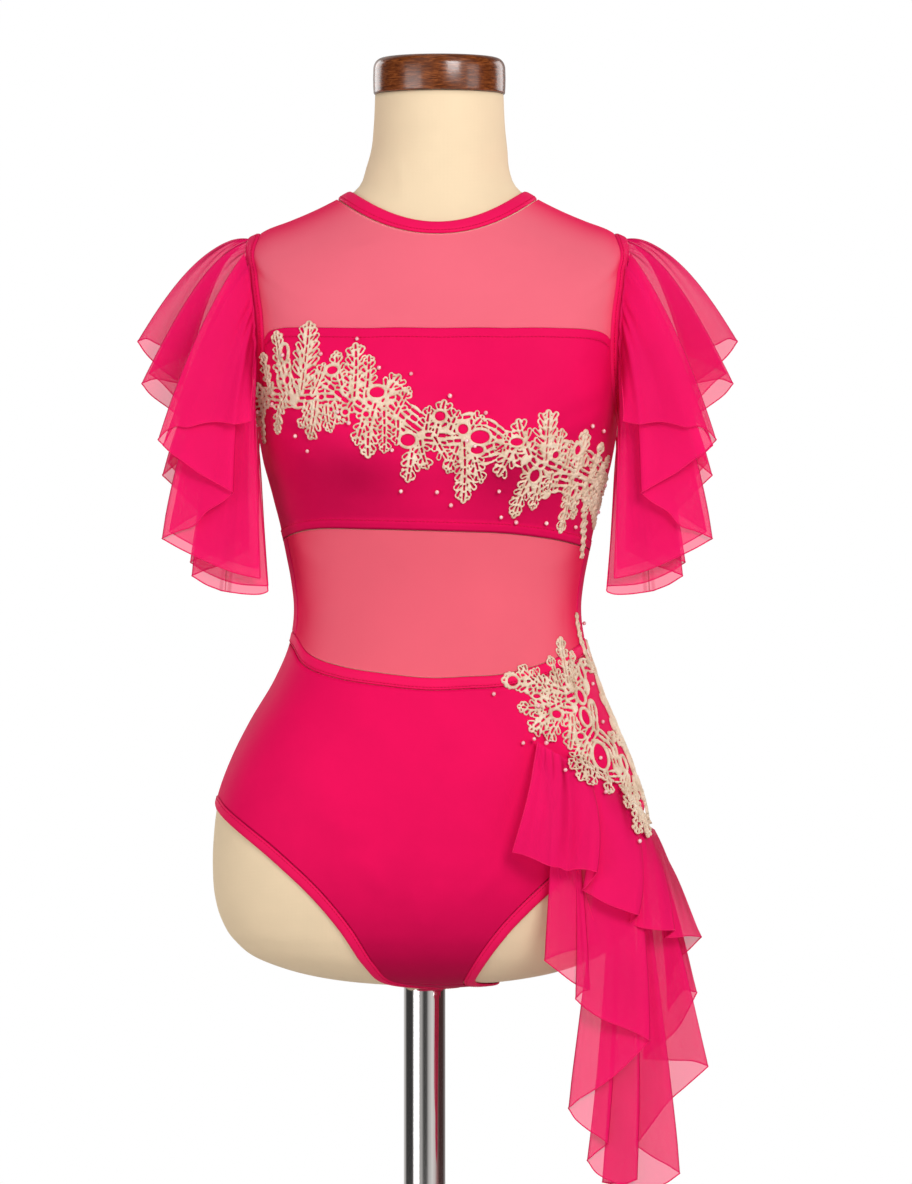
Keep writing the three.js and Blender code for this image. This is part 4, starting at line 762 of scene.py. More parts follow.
def build_panels():
    Z = lambda *r: [tuple(q) for q in r]
    # front yoke
    A, T = upper_grid(180, 360, 23, lambda a: np.full_like(a, NECK_SEAM - 0.4), lambda a: np.where(reach_of(a, 180, 360) <= 23.35, arm_level(reach_of(a, 180, 360), 23.35, True), bust_top(a) + SEAM), 220, 60)
    P = on(A, T)
    h = creases(P, [
        (200, 1118, 232, 1128, 9, 0.7), (208, 1100, 236, 1112, 12, 0.5), (340, 1119, 309, 1128, 10, 0.6), (333, 1098, 306, 1108, 13, 0.5),
        (245, 1104, 256, 1130, 10, 0.35), (292, 1104, 286, 1126, 12, 0.3), (222, 1140, 240, 1150, 6, 0.4), (318, 1141, 303, 1150, 6, 0.4)])
    ob = panel("yoke_front", A, T, MESH, "mesh", ["front_yoke"], off=0.4, thick=0.6, height=h, solid=False)
    # back yoke
    A, T = upper_grid(0, 180, 22, lambda a: np.full_like(a, NECK_SEAM - 0.4), lambda a: np.where(reach_of(a, 0, 180) <= 22.35, arm_level(reach_of(a, 0, 180), 22.35, True), back_yoke_edge(a) + SEAM), 200, 50)
    h = creases(on(A, T), [(22, 1116, 48, 1132, 9, 0.6), (158, 1117, 130, 1129, 10, 0.7), (38, 1100, 66, 1112, 12, 0.4), (141, 1096, 110, 1108, 11, 0.5), (84, 1090, 92, 1130, 9, 0.35)])
    ob = panel("yoke_back", A, T, MESH, "mesh", ["back_yoke"], off=0.4, thick=0.6, height=h, solid=False)
    # bust band
    top = lambda a: np.where(reach_of(a, 180, 360) <= 23.35, arm_level(reach_of(a, 180, 360), 23.35, False), bust_top(a) - SEAM)
    A, T = upper_grid(180, 360, 23, top, lambda a: bust_bottom(a) + SEAM, 190, 105)
    lo, hi = bust_bottom(A), top(A)
    zt, zn = on(A, hi)[..., 2] - on(A, T)[..., 2], on(A, T)[..., 2] - on(A, lo)[..., 2]
    inner = smoothstep(reach_of(A, 180, 360), 23.0, 26.0)
    h = 0.55 * (1 - smoothstep(zt, 6.6, 7.8)) * inner + 0.55 * (1 - smoothstep(zn, 6.4, 7.6))
    P = on(A, T)
    h = h + creases(P, [
        (206, 1000, 228, 985, 9, 0.9), (205, 985, 226, 962, 8, 0.7), (207, 960, 224, 936, 10, 0.6), (334, 1000, 313, 984, 9, 0.8), (335, 980, 316, 958, 8, 0.8), (333, 955, 318, 930, 10, 0.6),
        (262, 962, 278, 958, 16, -1.2), (264, 948, 277, 944, 9, 0.5), (235, 900, 243, 930, 12, -0.6), (300, 898, 294, 928, 12, -0.6),
        (183, 940, 203, 925, 8, 0.7), (184, 905, 206, 893, 9, 0.6), (357, 935, 338, 921, 8, 0.7), (356, 900, 336, 889, 9, 0.5),
        (212, 1052, 216, 1036, 6, 0.5), (326, 1050, 322, 1034, 6, 0.5)])
    h += 0.12 * np.sin(P[..., 0] * 0.9 + 1.3 * np.sin(P[..., 0] * 0.13)) * (np.exp(-(((zt - 7.2) / 3.0) ** 2)) * inner + np.exp(-(((zn - 7.0) / 3.0) ** 2)))
    ob = panel("bust_front", A, T, JERSEY, "jersey", ["bust_band"], off=0.35, thick=0.8, height=h)
    # its stitch lines
    st = []
    aa = np.linspace(204.5, 335.5, 500)
    for off_z, edge, sign in ((7.4, bust_top(aa) - SEAM, -1),):
        tt = edge - off_z * 1.55  # levels are steeper than heights on the chest
        pz = on(aa, edge)[:, 2]
        for _ in range(6):
            tt = tt + (pz - off_z - on(aa, tt)[:, 2]) * 0.9
        st += stitches(on(aa, tt, 1.45), body_normal(aa, tt))
    aa = np.linspace(182, 358, 620)
    st += stitches(on(aa, bust_bottom(aa) + SEAM + 7.2, 1.45), body_normal(aa, bust_bottom(aa) + 7.2))
    # back bodice
    top = lambda a: np.where(reach_of(a, 0, 180) <= 22.35, arm_level(reach_of(a, 0, 180), 22.35, False), back_yoke_edge(a) - SEAM)
    A, T = upper_grid(0, 180, 22, top, lambda a: np.full_like(a, BACK_WAIST + SEAM / 2), 150, 100)
    P = on(A, T)
    zt = on(A, top(A))[..., 2] - P[..., 2]
    h = 0.5 * (1 - smoothstep(zt, 6.6, 7.8)) * smoothstep(reach_of(A, 0, 180), 22, 25)
    h = h + creases(P, [
        (26, 990, 52, 968, 9, 0.9), (154, 992, 130, 972, 9, 0.8), (28, 960, 56, 940, 10, 0.7), (152, 955, 122, 930, 11, 0.8),
        (60, 846, 96, 838, 8, 0.9), (72, 830, 118, 826, 7, 0.8), (54, 868, 88, 860, 9, 0.6), (104, 862, 132, 852, 8, 0.6), (90, 1040, 91, 900, 14, -0.9),
        (6, 930, 26, 920, 8, 0.6), (174, 925, 156, 912, 8, 0.6), (10, 850, 34, 843, 8, 0.7), (170, 856, 148, 846, 8, 0.6)])
    ob = panel("bodice_back", A, T, JERSEY, "jersey", ["back_bodice"], off=0.35, thick=0.8, height=h)
    aa = np.linspace(23, 157, 520)
    tt = back_yoke_edge(aa) - 8.5
    st += stitches(on(aa, tt, 1.45), body_normal(aa, tt))
    # midriff
    lft = columns(19, 180 + SIDE_GAP, 360 - SIDE_GAP, 23.35, 4 / 18)
    a1, a2 = lft[1], lft[17]

    def middle(x0, x1, cols, rows):
        a = np.linspace(x0, x1, cols)
        v = np.linspace(0, 1, rows)[:, None]
        lo, hi = waist(a) + SEAM, bust_bottom(a) - SEAM
        return np.broadcast_to(a, (rows, cols)), lo + (hi - lo) * v

    A, T = middle(a1 + 0.1, a2 - 0.1, 200, 70)
    h = creases(on(A, T), [(197, 872, 216, 856, 9, 0.5), (200, 812, 222, 820, 9, 0.6), (340, 866, 322, 852, 9, 0.5), (336, 812, 316, 816, 10, 0.6), (240, 772, 262, 786, 9, 0.4), (300, 774, 284, 786, 9, 0.4), (212, 842, 250, 838, 12, 0.35)])
    ob = panel("midriff", A, T, MIDRIFF, "mesh", ["midriff_mesh"], off=0.4, thick=0.6, height=h, solid=False)
    for tag, x0, x1 in (("L", 180 + SIDE_GAP, a1 - 0.1), ("R", a2 + 0.1, 360 - SIDE_GAP)):
        A, T = middle(x0, x1, 24, 70)
        edge = np.minimum(A - x0, x1 - A)
        h = 0.35 * np.exp(-((edge - 1.2) ** 2) / 0.5)
        ob = panel(f"side_piece_{tag}", A, T, JERSEY, "jersey", [f"side_strip_{tag}"], off=0.35, thick=0.8, height=h)
    # neck binding
    a = np.arange(360)
    w = np.linspace(0, 1, 15)[:, None]
    T = (NECK_SEAM + 0.1) + (NECK_EDGE - NECK_SEAM - 0.1) * w
    A = np.broadcast_to(a, (15, 360)).astype(float)
    T = np.broadcast_to(T, (15, 360))
    ob = binding_mesh("neck_trim", on(A, T)[::-1], body_normal(A, T)[::-1], 9.0)
    done(ob, "jersey", "neck_binding")
    tt = np.full(361, NECK_SEAM + 0.1 + (NECK_EDGE - NECK_SEAM) * 0.2)
    aa = np.arange(361.0)
    st += stitches(on(aa, tt, 1.75), body_normal(aa, tt), 2.0, 0.9)
    # armhole bands
    for tag, side in (("L", -1), ("R", 1)):
        turn = np.arange(0, 360, 2.0)
        a0, t0 = arm_loop(ARM_SEAM, turn, side)
        a1_, t1_ = arm_loop(ARM_FREE, turn, side)
        P0, P1 = on(a0, t0, ARM_SEAM["off"]), on(a1_, t1_, ARM_FREE["off"])
        N0, N1 = body_normal(a0, t0), body_normal(a1_, t1_)
        w = np.linspace(0, 1, 15)[:, None, None]
        ob = binding_mesh(f"armhole_trim_{tag}", P1 + (P0 - P1) * w, N1 + (N0 - N1) * w, 9.0, base=0.2)
        done(ob, "jersey", f"armhole_band_{tag}")
        k = 0.8
        loop = P1 + (P0 - P1) * k + (N1 + (N0 - N1) * k) * 1.65
        loop = np.concatenate([loop, loop[:1]])
        nn = N1 + (N0 - N1) * k
        st += stitches(loop, np.concatenate([nn, nn[:1]]), 2.0, 0.9)
    # waist binding
    a = np.linspace(180 + SIDE_GAP, 360 - SIDE_GAP, 260)
    w = np.linspace(1, 0, 15)[:, None]
    T = waist(a) - WAIST_WIDE * (1 - w)
    A = np.broadcast_to(a, T.shape)
    ob = binding_mesh("waist_trim", on(A, T), body_normal(A, T), 9.8, high=1.6, round_=False)
    done(ob, "jersey", "waist_binding")
    tt = waist(a) - WAIST_WIDE * 0.8
    st += stitches(on(a, tt, 1.5), body_normal(a, tt), 2.0, 0.9)
    return st


# ---------------------------------------------------------------- the brief
LEG = [(-172, 181, 0, 657), (-162, 171, -45, 646), (-128, 136, -77, 619), (-93, 99, -87, 587), (-67, 68, -82, 556), (-50, 49, -66, 530),
       (-33, 42, -42, 513), (4, 56, -20, 509), (21, 62, 0, 509), (10, 58, 20, 509), (-34, 44, 50, 513), (-66, 68, 84, 534),
       (-106, 112, 100, 566), (-142, 150, 78, 606), (-165, 174, 40, 640)]
STATIONS = len(LEG)


def leg_points(tag, u):
    """Closed centripetal Catmull-Rom through the stations."""
    C = np.array([(r[0] if tag == "L" else r[1], r[2], r[3]) for r in LEG], float)
    u = np.mod(np.asarray(u, float), 1.0)
    q = u * STATIONS
    i = np.floor(q).astype(int) % STATIONS
    w = (q - np.floor(q))[..., None]
    p0, p1, p2, p3 = (C[(i + k) % STATIONS] for k in (-1, 0, 1, 2))
    d = lambda a, b: np.maximum(np.sum((a - b) ** 2, -1, keepdims=True) ** 0.25, 1e-4)
    d0, d1, d2 = d(p0, p1), d(p1, p2), d(p2, p3)
    t1 = ((p1 - p0) / d0 - (p2 - p0) / (d0 + d1) + (p2 - p1) / d1) * d1
    t2 = ((p2 - p1) / d1 - (p3 - p1) / (d1 + d2) + (p3 - p2) / d2) * d1
    return p1 + t1 * w + (-3 * p1 + 3 * p2 - 2 * t1 - t2) * w ** 2 + (2 * p1 - 2 * p2 + t1 + t2) * w ** 3


def leg_point(tag, u, w, off=0.0):
    u = np.asarray(u, float)
    p = to_form(leg_points(tag, u))
    along = to_form(leg_points(tag, u + 0.004)) - to_form(leg_points(tag, u - 0.004))
    along /= np.linalg.norm(along, axis=-1, keepdims=True)
    n = surface_normal(p)
    inward = np.cross(n, along) * (1 if tag == "L" else -1)
    return to_form(p + inward * np.asarray(w, float)[..., None] if np.ndim(w) else p + inward * w, off)


LEG_WIDE = 9.5
LEG_IN = 9.95
MIDDLE = {
    True: [(0, 8, -97, 752), (0.3, 6, -102, 662), (0.6, 4, -97, 592), (0.8, 2, -82, 548), (0.92, 2, -62, 524), (1, 4.5, -42, 511)],
    False: [(0, 8, 82, 790), (0.3, 6, 110, 680), (0.6, 4, 117, 600), (0.8, 3, 104, 552), (0.92, 3, 78, 526), (1, 5, 50, 512)],
}
SEAM1, SEAM2 = 6 / 15, 10 / 15


def rows_between(L, R, M, cols):
    u = np.linspace(0, 1, cols)[None, :, None]
    half = (L + R) / 2
    return L[:, None] + (R - L)[:, None] * u + (M - half)[:, None] * (4 * u * (1 - u))


def lower_grid(front, cols=112, seam_rows=22, leg_rows=88):
    u0, u1 = (0.0004, SEAM1 - 0.0009) if front else (1 - 0.0004, SEAM2 + 0.0009)
    seam_top = (lambda a: waist(a) - WAIST_WIDE - SEAM) if front else (lambda a: np.full_like(np.asarray(a, float), BACK_WAIST - SEAM / 2))
    aL, aR = (180 + SIDE_GAP, 360 - SIDE_GAP) if front else (180 - SIDE_GAP, SIDE_GAP)
    LT, RT = leg_point("L", np.array([u0]), LEG_IN)[0], leg_point("R", np.array([u0]), LEG_IN)[0]
    k = np.linspace(0, 1, seam_rows)
    sL = body(aL, seam_top(aL) + (LT[2] + 3 - seam_top(aL)) * k)
    sR = body(aR, seam_top(aR) + (RT[2] + 3 - seam_top(aR)) * k)
    q = np.linspace(0, 1, leg_rows + 1)[1:]
    uu = u0 + (u1 - u0) * q
    L = np.concatenate([sL, leg_point("L", uu, LEG_IN)])
    R = np.concatenate([sR, leg_point("R", uu, LEG_IN)])
    # the share of the way down is counted as in the solid: 3 rows of seam, then the leg
    parts = 12 if front else 10
    way = np.r_[k * 3, 3 + q * parts] / (3 + parts)
    Mt = np.array(MIDDLE[front], float)
    M = np.stack([np.interp(way, Mt[:, 0], Mt[:, c]) for c in (1, 2, 3)], -1)
    M[-1] = (L[-1] + R[-1]) / 2
    # ease towards the last row's own middle, so the crotch seam stays straight
    e = smoothstep(way, 0.93, 1.0)[:, None]
    M = M * (1 - e) + ((L + R) / 2) * e * 1.0 + (M - (L + R) / 2) * e * 0.0
    G = rows_between(L, R, M, cols)
    aa = np.linspace(aL, aR, cols)
    top = body(aa, seam_top(aa))
    e = (1 - smoothstep(way, 0.0, 0.16))[:, None, None]
    G = G * (1 - e) + (top[None] + (G - G[:1])) * e
    return G


def build_brief():
    st = []
    for front in (True, False):
        G = lower_grid(front)
        base = to_form(G, 0.35)
        n = surface_normal(to_form(G, 0.0))
        P = to_form(G, 0.0)
        if front:
            h = creases(P, [
                (200, 742, 226, 716, 10, 0.8), (204, 716, 232, 690, 11, 0.7), (212, 690, 238, 662, 12, 0.8), (222, 660, 246, 628, 12, 0.7),
                (236, 626, 252, 590, 10, 0.7), (338, 742, 318, 720, 10, 0.7), (330, 700, 308, 676, 12, 0.8), (318, 660, 300, 620, 12, 0.7),
                (304, 616, 288, 582, 9, 0.7), (262, 600, 268, 550, 9, 0.6), (276, 604, 272, 556, 8, 0.5), (252, 745, 262, 716, 13, 0.5), (284, 742, 277, 700, 14, 0.5)])
        else:
            h = creases(P, [
                (150, 780, 124, 752, 10, 0.9), (28, 778, 58, 752, 11, 0.8), (90, 770, 92, 610, 12, -1.6), (140, 700, 112, 664, 13, 0.8), (42, 702, 68, 664, 12, 0.8),
                (128, 640, 104, 590, 12, 0.8), (54, 636, 78, 588, 12, 0.9), (100, 600, 92, 560, 9, 0.7), (160, 735, 146, 700, 9, 0.6), (18, 732, 36, 700, 9, 0.6)])
        outer = P + n * (1.15 + h)[..., None]
        name = "brief_front_cloth" if front else "brief_back_cloth"
        ob = wall_mesh(name, base, outer, JERSEY)
        done(ob, "jersey", "brief_front" if front else "brief_back")
    # gusset
    uu = np.linspace(SEAM1 + 0.0009, SEAM2 - 0.0009, 60)
    L, R = leg_point("L", uu, LEG_IN), leg_point("R", uu, LEG_IN)
    G = rows_between(L, R, (L + R) / 2, 30)
    ob = wall_mesh("gusset_cloth", to_form(G, 0.35), to_form(G, 1.2), JERSEY)
    done(ob, "jersey", "gusset")
    # leg bindings
    for tag in ("L", "R"):
        u = np.arange(0, 1, 1 / 300)
        m = 13
        w = np.linspace(LEG_WIDE, 0, m)
        rows = np.stack([leg_point(tag, u, float(k)) for k in w])
        nr = surface_normal(rows)
        if tag == "R":
            rows, nr = rows[:, ::-1], nr[:, ::-1]
        ob = binding_mesh(f"leg_trim_{tag}", rows[::-1], nr[::-1], LEG_WIDE, high=1.7)
        done(ob, "jersey", f"leg_binding_{tag}")
        q = leg_point(tag, np.linspace(0, 1, 500), LEG_WIDE * 0.8)
        st += stitches(q + surface_normal(q) * 1.6, surface_normal(q), 2.0, 0.9)
    return st


# ---------------------------------------------------------------- flounces
def hem_curve(H, closed=False):
    """Centripetal Catmull-Rom through hem points: gives sample points and the fractional index of each."""
    n = len(H)
    pts, idx = [], []
    for i in range(n - 1):
        p1, p2 = H[i], H[i + 1]
        p0 = H[i - 1] if i > 0 else 2 * p1 - p2
        p3 = H[i + 2] if i + 2 < n else 2 * p2 - p1
        d0, d1, d2 = (max(np.linalg.norm(b - a) ** 0.5, 1e-3) for a, b in ((p0, p1), (p1, p2), (p2, p3)))
        t1 = ((p1 - p0) / d0 - (p2 - p0) / (d0 + d1) + (p2 - p1) / d1) * d1
        t2 = ((p2 - p1) / d1 - (p3 - p1) / (d1 + d2) + (p3 - p2) / d2) * d1
        m = max(3, int(np.linalg.norm(p2 - p1) / 2.4))
        for k in range(m):
            w = k / m
            pts.append(p1 + t1 * w + (-3 * p1 + 3 * p2 - 2 * t1 - t2) * w ** 2 + (2 * p1 - 2 * p2 + t1 + t2) * w ** 3)
            idx.append(i + w)
    pts.append(H[-1])
    idx.append(n - 1.0)
    return np.array(pts), np.array(idx)


TURN_BACK, TURN_DEEP = 2.6, 2.1


def clear_of_form(G, gap):
    """Move cloth that hangs into the form out to the given gap."""
    e = 0.5
    for _ in range(3):
        g = np.stack([(outside(G + d) - outside(G - d)) / (2 * e) for d in (np.array([e, 0, 0]), np.array([0, e, 0]), np.array([0, 0, e]))], -1)
        size = np.linalg.norm(g, axis=-1) + 1e-9
        d = outside(G) / size
        near = (G[..., 2] > 512) & (G[..., 2] < 760) & (d < gap)
        G = G + np.where(near, np.clip(gap - d, 0, 12), 0)[..., None] * g / size[..., None]
    return G


def flounce(name, rows, seam, deep=0.5, mirror=False, fall=30, ripple=1.0, seed=3, gap=0.0):
    """A flounce in folds. rows: seam place, lift, picture x, picture y, depth, lead, puff, and "f" for a fold, "a" for an arch."""
    base = []
    for r in rows:
        s, lift, px, py, y, lead, puff = r[:7]
        flags = r[7] if len(r) > 7 else ""
        base.append(dict(s=s, lift=lift, p=mm(px, py, y), lead=lead, puff=puff, fold="f" in flags, arch=1.0 if "a" in flags else 0.0))
    cols = []
    for i, c in enumerate(base):
        if c["fold"] and 0 < i < len(base) - 1:
            b, f = base[i - 1], base[i + 1]
            sgn = np.sign(f["p"][1] - b["p"][1]) or 1.0

            def toward(q):
                d = q["p"] - c["p"]
                d[1] = 0
                return d / (np.linalg.norm(d) + 1e-9)

            for q, k in ((b, -1), (None, 0), (f, 1)):
                e = dict(c)
                if q is not None:
                    e["p"] = c["p"] + toward(q) * TURN_BACK + np.array([0, k * sgn * TURN_DEEP, 0])
                    e["s"] = c["s"] + (q["s"] - c["s"]) * 0.06
                    e["lift"] = c["lift"] - k * 0.4
                cols.append(e)
        else:
            cols.append(c)
    H, idx = hem_curve(np.array([c["p"] for c in cols]))
    at = lambda key: np.interp(idx, np.arange(len(cols)), [c[key] for c in cols])
    S, lift, lead, puff, arch = at("s"), at("lift"), at("lead"), at("puff"), at("arch")
    rng = np.random.default_rng(seed)
    # gathers at the seam: uneven in spacing and depth
    along = np.r_[0, np.cumsum(np.linalg.norm(np.diff(H, axis=0), axis=1))]
    ph = along / 17.0 + 1.1 * np.sin(along / 41.0 + 0.7) + 0.5 * np.sin(along / 23.0)
    rip = 0.9 * np.sin(ph * 2 * math.pi) * (0.6 + 0.4 * np.sin(along / 63.0 + 2))
    P, out = seam(S, lift + 0.35 * rip * ripple)
    C = np.empty_like(P)
    C[:, 0] = P[:, 0] + (H[:, 0] - P[:, 0]) * lead * (1 - arch) + out[:, 0] * puff
    C[:, 1] = P[:, 1] + (H[:, 1] - P[:, 1]) * deep + out[:, 1] * puff
    C[:, 2] = P[:, 2] + (H[:, 2] - P[:, 2]) * lead
    v = np.linspace(0, 1, fall)[:, None, None] ** 1.15
    G = P * (1 - v) ** 2 + C * 2 * v * (1 - v) + H * v * v
    # soft waves that fade out towards the hem, and a slow breathing of the whole cloth
    du = np.gradient(G, axis=1)
    dv = np.gradient(G, axis=0)
    N = np.cross(du, dv)
    N /= np.linalg.norm(N, axis=-1, keepdims=True) + 1e-9
    vv = v[..., 0]
    wave_ = rip[None] * (np.exp(-((vv - 0.12) / 0.16) ** 2) * 0.9 + 0.42 * np.sin(np.pi * vv) ** 0.8) * ripple
    slow = 0.9 * np.sin(along / 37.0 + 1.0)[None] * np.sin(vv * 5.2 + along[None] / 90.0) * smoothstep(vv, 0.15, 0.5) * (1 - smoothstep(vv, 0.9, 1.0))
    G = G + N * (wave_ + 0.7 * slow)[..., None]
    if gap:
        G = clear_of_form(G, gap)
    if mirror:
        G = G.copy()
        G[..., 0] = 2 * CENTRE_X - G[..., 0]
    ob = sheet_mesh(name, G, CHIFFON)
    edge = np.concatenate([G[:, 0], G[-1, 1:-1], G[::-1, -1]])
    edge = resample(edge, 1.6)
    hem = many(name + "_hem", [tube(edge, 0.52, 6)], HEM)
    return ob, hem


SLEEVE_FRONT = [
    (108, 3.4, 251, 421, -82, 0.5, 1), (92, 3.8, 242, 423, -86, 0.45, 3), (80, 4.2, 234, 424, -90, 0.4, 4), (74, 4.2, 226, 422.5, -87, 0.4, 5), (68, 4.3, 214, 421.5, -86, 0.4, 6), (62, 4.3, 199, 424, -88, 0.38, 8), (55, 4.3, 188, 427, -90, 0.37, 10),
    (46, 4.3, 176, 426, -90, 0.36, 12), (38, 4.2, 166, 431, -91, 0.36, 13), (26, 4.0, 158, 439.6, -92, 0.35, 13, "f"),
    (36, 3.6, 170, 452, -90, 0.36, 12), (44, 3.5, 182, 460.5, -88, 0.38, 11), (52, 3.4, 199, 473, -86, 0.4, 9), (60, 3.3, 215, 482, -85, 0.42, 7), (68, 3.2, 233.5, 492.5, -84, 0.44, 6, "f"),
    (62, 2.8, 222, 502, -82, 0.45, 8), (54, 2.6, 206, 512, -81, 0.45, 11), (47, 2.5, 194, 525.5, -80, 0.45, 14), (42, 2.4, 178, 531, -79, 0.45, 16), (36, 2.2, 161.8, 538.3, -78, 0.45, 18, "f"),
    (46, 1.8, 177, 547, -76, 0.46, 15), (60, 1.7, 194, 555.5, -75, 0.47, 11), (80, 1.6, 217, 566, -74, 0.48, 6), (98, 1.5, 236, 573, -72, 0.5, 3), (118, 1.4, 260.3, 578.6, -70, 0.5, 1),
]
SLEEVE_MAIN = [
    (142, 0.6, 268, 591.5, -60, 0.5, 0), (136, 0.6, 261, 594, -61, 0.5, 1), (126, 0.6, 245, 594, -62, 0.5, 3), (117, 0.6, 229.3, 592, -63, 0.5, 5, "f"), (112, 0.5, 221, 590.5, -61.5, 0.5, 5, "f"), (96, 0.5, 206, 584.5, -61, 0.48, 9),
    (74, 0.5, 191.6, 575.4, -60, 0.45, 16, "f"), (82, 0.5, 206, 569.5, -58.5, 0.46, 12), (88, 0.5, 218, 565.5, -57, 0.48, 9), (94, 0.5, 234, 557, -56, 0.5, 5), (99, 0.5, 249.4, 549, -54, 0.5, 3, "f"),
    (86, 0.5, 233, 537.5, -52, 0.48, 6), (72, 0.5, 216, 529.5, -50.5, 0.45, 9), (60, 0.5, 199, 511, -49, 0.4, 12), (50, 0.5, 177, 489, -47.5, 0.36, 15), (44, 0.6, 162.3, 475, -46, 0.32, 16, "f"),
    (44, 0.6, 172, 467, -43.5, 0.32, 16), (45, 0.6, 186, 456, -41, 0.31, 16), (46, 0.6, 210, 442, -36, 0.3, 16, "f"), (36, 0.8, 190, 424, -32.5, 0.22, 22, "a"), (26, 1.0, 170, 409, -29, 0.14, 29, "a"), (20, 1.2, 150, 394, -26.5, 0.1, 33, "a"),
    (14, 1.3, 141.6, 383.2, -24, 0.05, 36, "fa"), (12, 1.2, 154, 378.8, -20, 0.06, 34, "a"), (10, 1.1, 170, 381.4, -14, 0.08, 31, "a"), (8, 1.0, 184, 384, -8, 0.1, 28, "fa"),
    (6, 1.2, 171, 376, -3, 0.07, 31, "a"), (4, 1.3, 152, 360, 3, 0.03, 35, "a"), (2, 1.4, 144, 351, 6.5, 0.0, 38, "a"), (0, 1.5, 137.6, 341, 10, -0.04, 39, "fa"),
    (-3, 1.3, 146, 338.4, 14, -0.01, 36, "a"), (-6, 1.1, 160, 345, 19, 0.04, 32, "a"), (-10, 0.9, 188, 354.5, 26, 0.1, 27, "fa"),
    (-14, 1.1, 170, 362, 32, 0.07, 31, "a"), (-20, 1.3, 149, 373, 40, 0.04, 34, "fa"), (-24, 1.1, 160, 381, 42, 0.1, 30, "a"), (-33, 0.8, 180, 402, 44, 0.2, 24), (-45, 0.6, 208, 429, 46, 0.3, 16, "f"),
    (-42, 0.6, 190, 441, 49, 0.3, 16), (-41, 0.6, 168, 462, 56, 0.3, 16, "f"), (-52, 0.6, 182, 478, 58.5, 0.34, 13), (-72, 0.5, 214, 506, 62, 0.42, 8), (-94, 0.5, 246, 533, 66, 0.5, 3, "f"),
    (-88, 0.5, 230, 545, 68, 0.48, 7), (-80, 0.5, 208, 555, 70, 0.46, 10), (-72, 0.5, 190, 562, 72, 0.45, 14, "f"), (-86, 0.5, 204, 571, 74, 0.46, 9), (-110, 0.5, 234, 583, 76, 0.5, 4), (-142, 0.6, 268, 586, 76, 0.5, 0),
]
SLEEVE_BACK = [
    (-112, 4.2, 252, 415, 94, 0.5, 1), (-96, 4.5, 236, 419, 98, 0.45, 3), (-84, 4.6, 219, 423, 101, 0.42, 5), (-70, 4.8, 202, 421, 99, 0.38, 8), (-56, 4.8, 186, 418, 98, 0.36, 11), (-42, 4.6, 174, 426, 101, 0.35, 13),
    (-28, 4.3, 163, 445, 102, 0.3, 15, "f"), (-38, 4.0, 180, 461, 100, 0.34, 12), (-54, 3.8, 204, 480, 98, 0.4, 8), (-67, 3.6, 230, 500, 96, 0.43, 6, "f"),
    (-56, 3.2, 210, 508, 94, 0.44, 10), (-46, 3.0, 188, 519, 92, 0.45, 14), (-38, 2.8, 169, 531, 90, 0.45, 17, "f"), (-52, 2.6, 186, 541, 88, 0.46, 13), (-80, 2.4, 216, 556, 86, 0.48, 6), (-118, 2.2, 258, 569, 84, 0.5, 1),
]
DRAPE_SEAM = np.array([(0, 313, 711), (0.25, 326, 691), (0.45, 335, 675), (0.65, 343, 653), (0.8, 350, 641), (1, 364, 631)], float)
UPPER = [
    (0.0, 3.0, 512.4, 852.2, -114, 0.5, 15), (0.03, 3.2, 522, 854, -117, 0.5, 17), (0.08, 3.4, 536, 859.5, -121, 0.5, 18), (0.12, 3.4, 549, 865.5, -121, 0.5, 18), (0.16, 3.2, 560, 867.5, -115, 0.5, 15), (0.19, 2.8, 567, 870.5, -111.5, 0.5, 13),
    (0.23, 3.2, 576, 868.8, -115, 0.5, 17), (0.27, 3.4, 588, 869.4, -117, 0.5, 20), (0.31, 3.4, 597.3, 872, -115, 0.5, 21, "f"), (0.31, 3.0, 592, 880, -109, 0.5, 16), (0.32, 2.6, 582.5, 890, -103.5, 0.5, 12, "f"),
    (0.38, 3.2, 592, 895, -106, 0.5, 16), (0.46, 3.3, 606, 903, -107, 0.5, 19), (0.54, 3.3, 624, 910, -103.5, 0.5, 20), (0.6, 3.4, 639, 915, -99, 0.5, 20, "f"), (0.61, 2.9, 635, 919, -92, 0.5, 16), (0.62, 2.5, 629, 923, -86, 0.5, 6, "f"),
    (0.66, 3.0, 640, 927, -86, 0.5, 8), (0.7, 3.2, 656, 929.6, -82, 0.5, 8), (0.76, 3.3, 675, 930, -75, 0.5, 8, "f"), (0.77, 2.9, 670, 934, -67, 0.5, 6), (0.79, 2.6, 664, 938, -59, 0.5, 6, "f"),
    (0.84, 3.0, 676, 937.3, -56, 0.5, 5), (0.9, 3.1, 688, 935.6, -50, 0.5, 4), (0.96, 3.2, 701.7, 936.6, -42, 0.5, 3, "f"), (0.97, 3.1, 690, 948.5, -37, 0.5, 4), (0.98, 3.1, 678, 960, -32, 0.5, 4), (1.0, 3.0, 668, 983, -26, 0.5, 4),
]
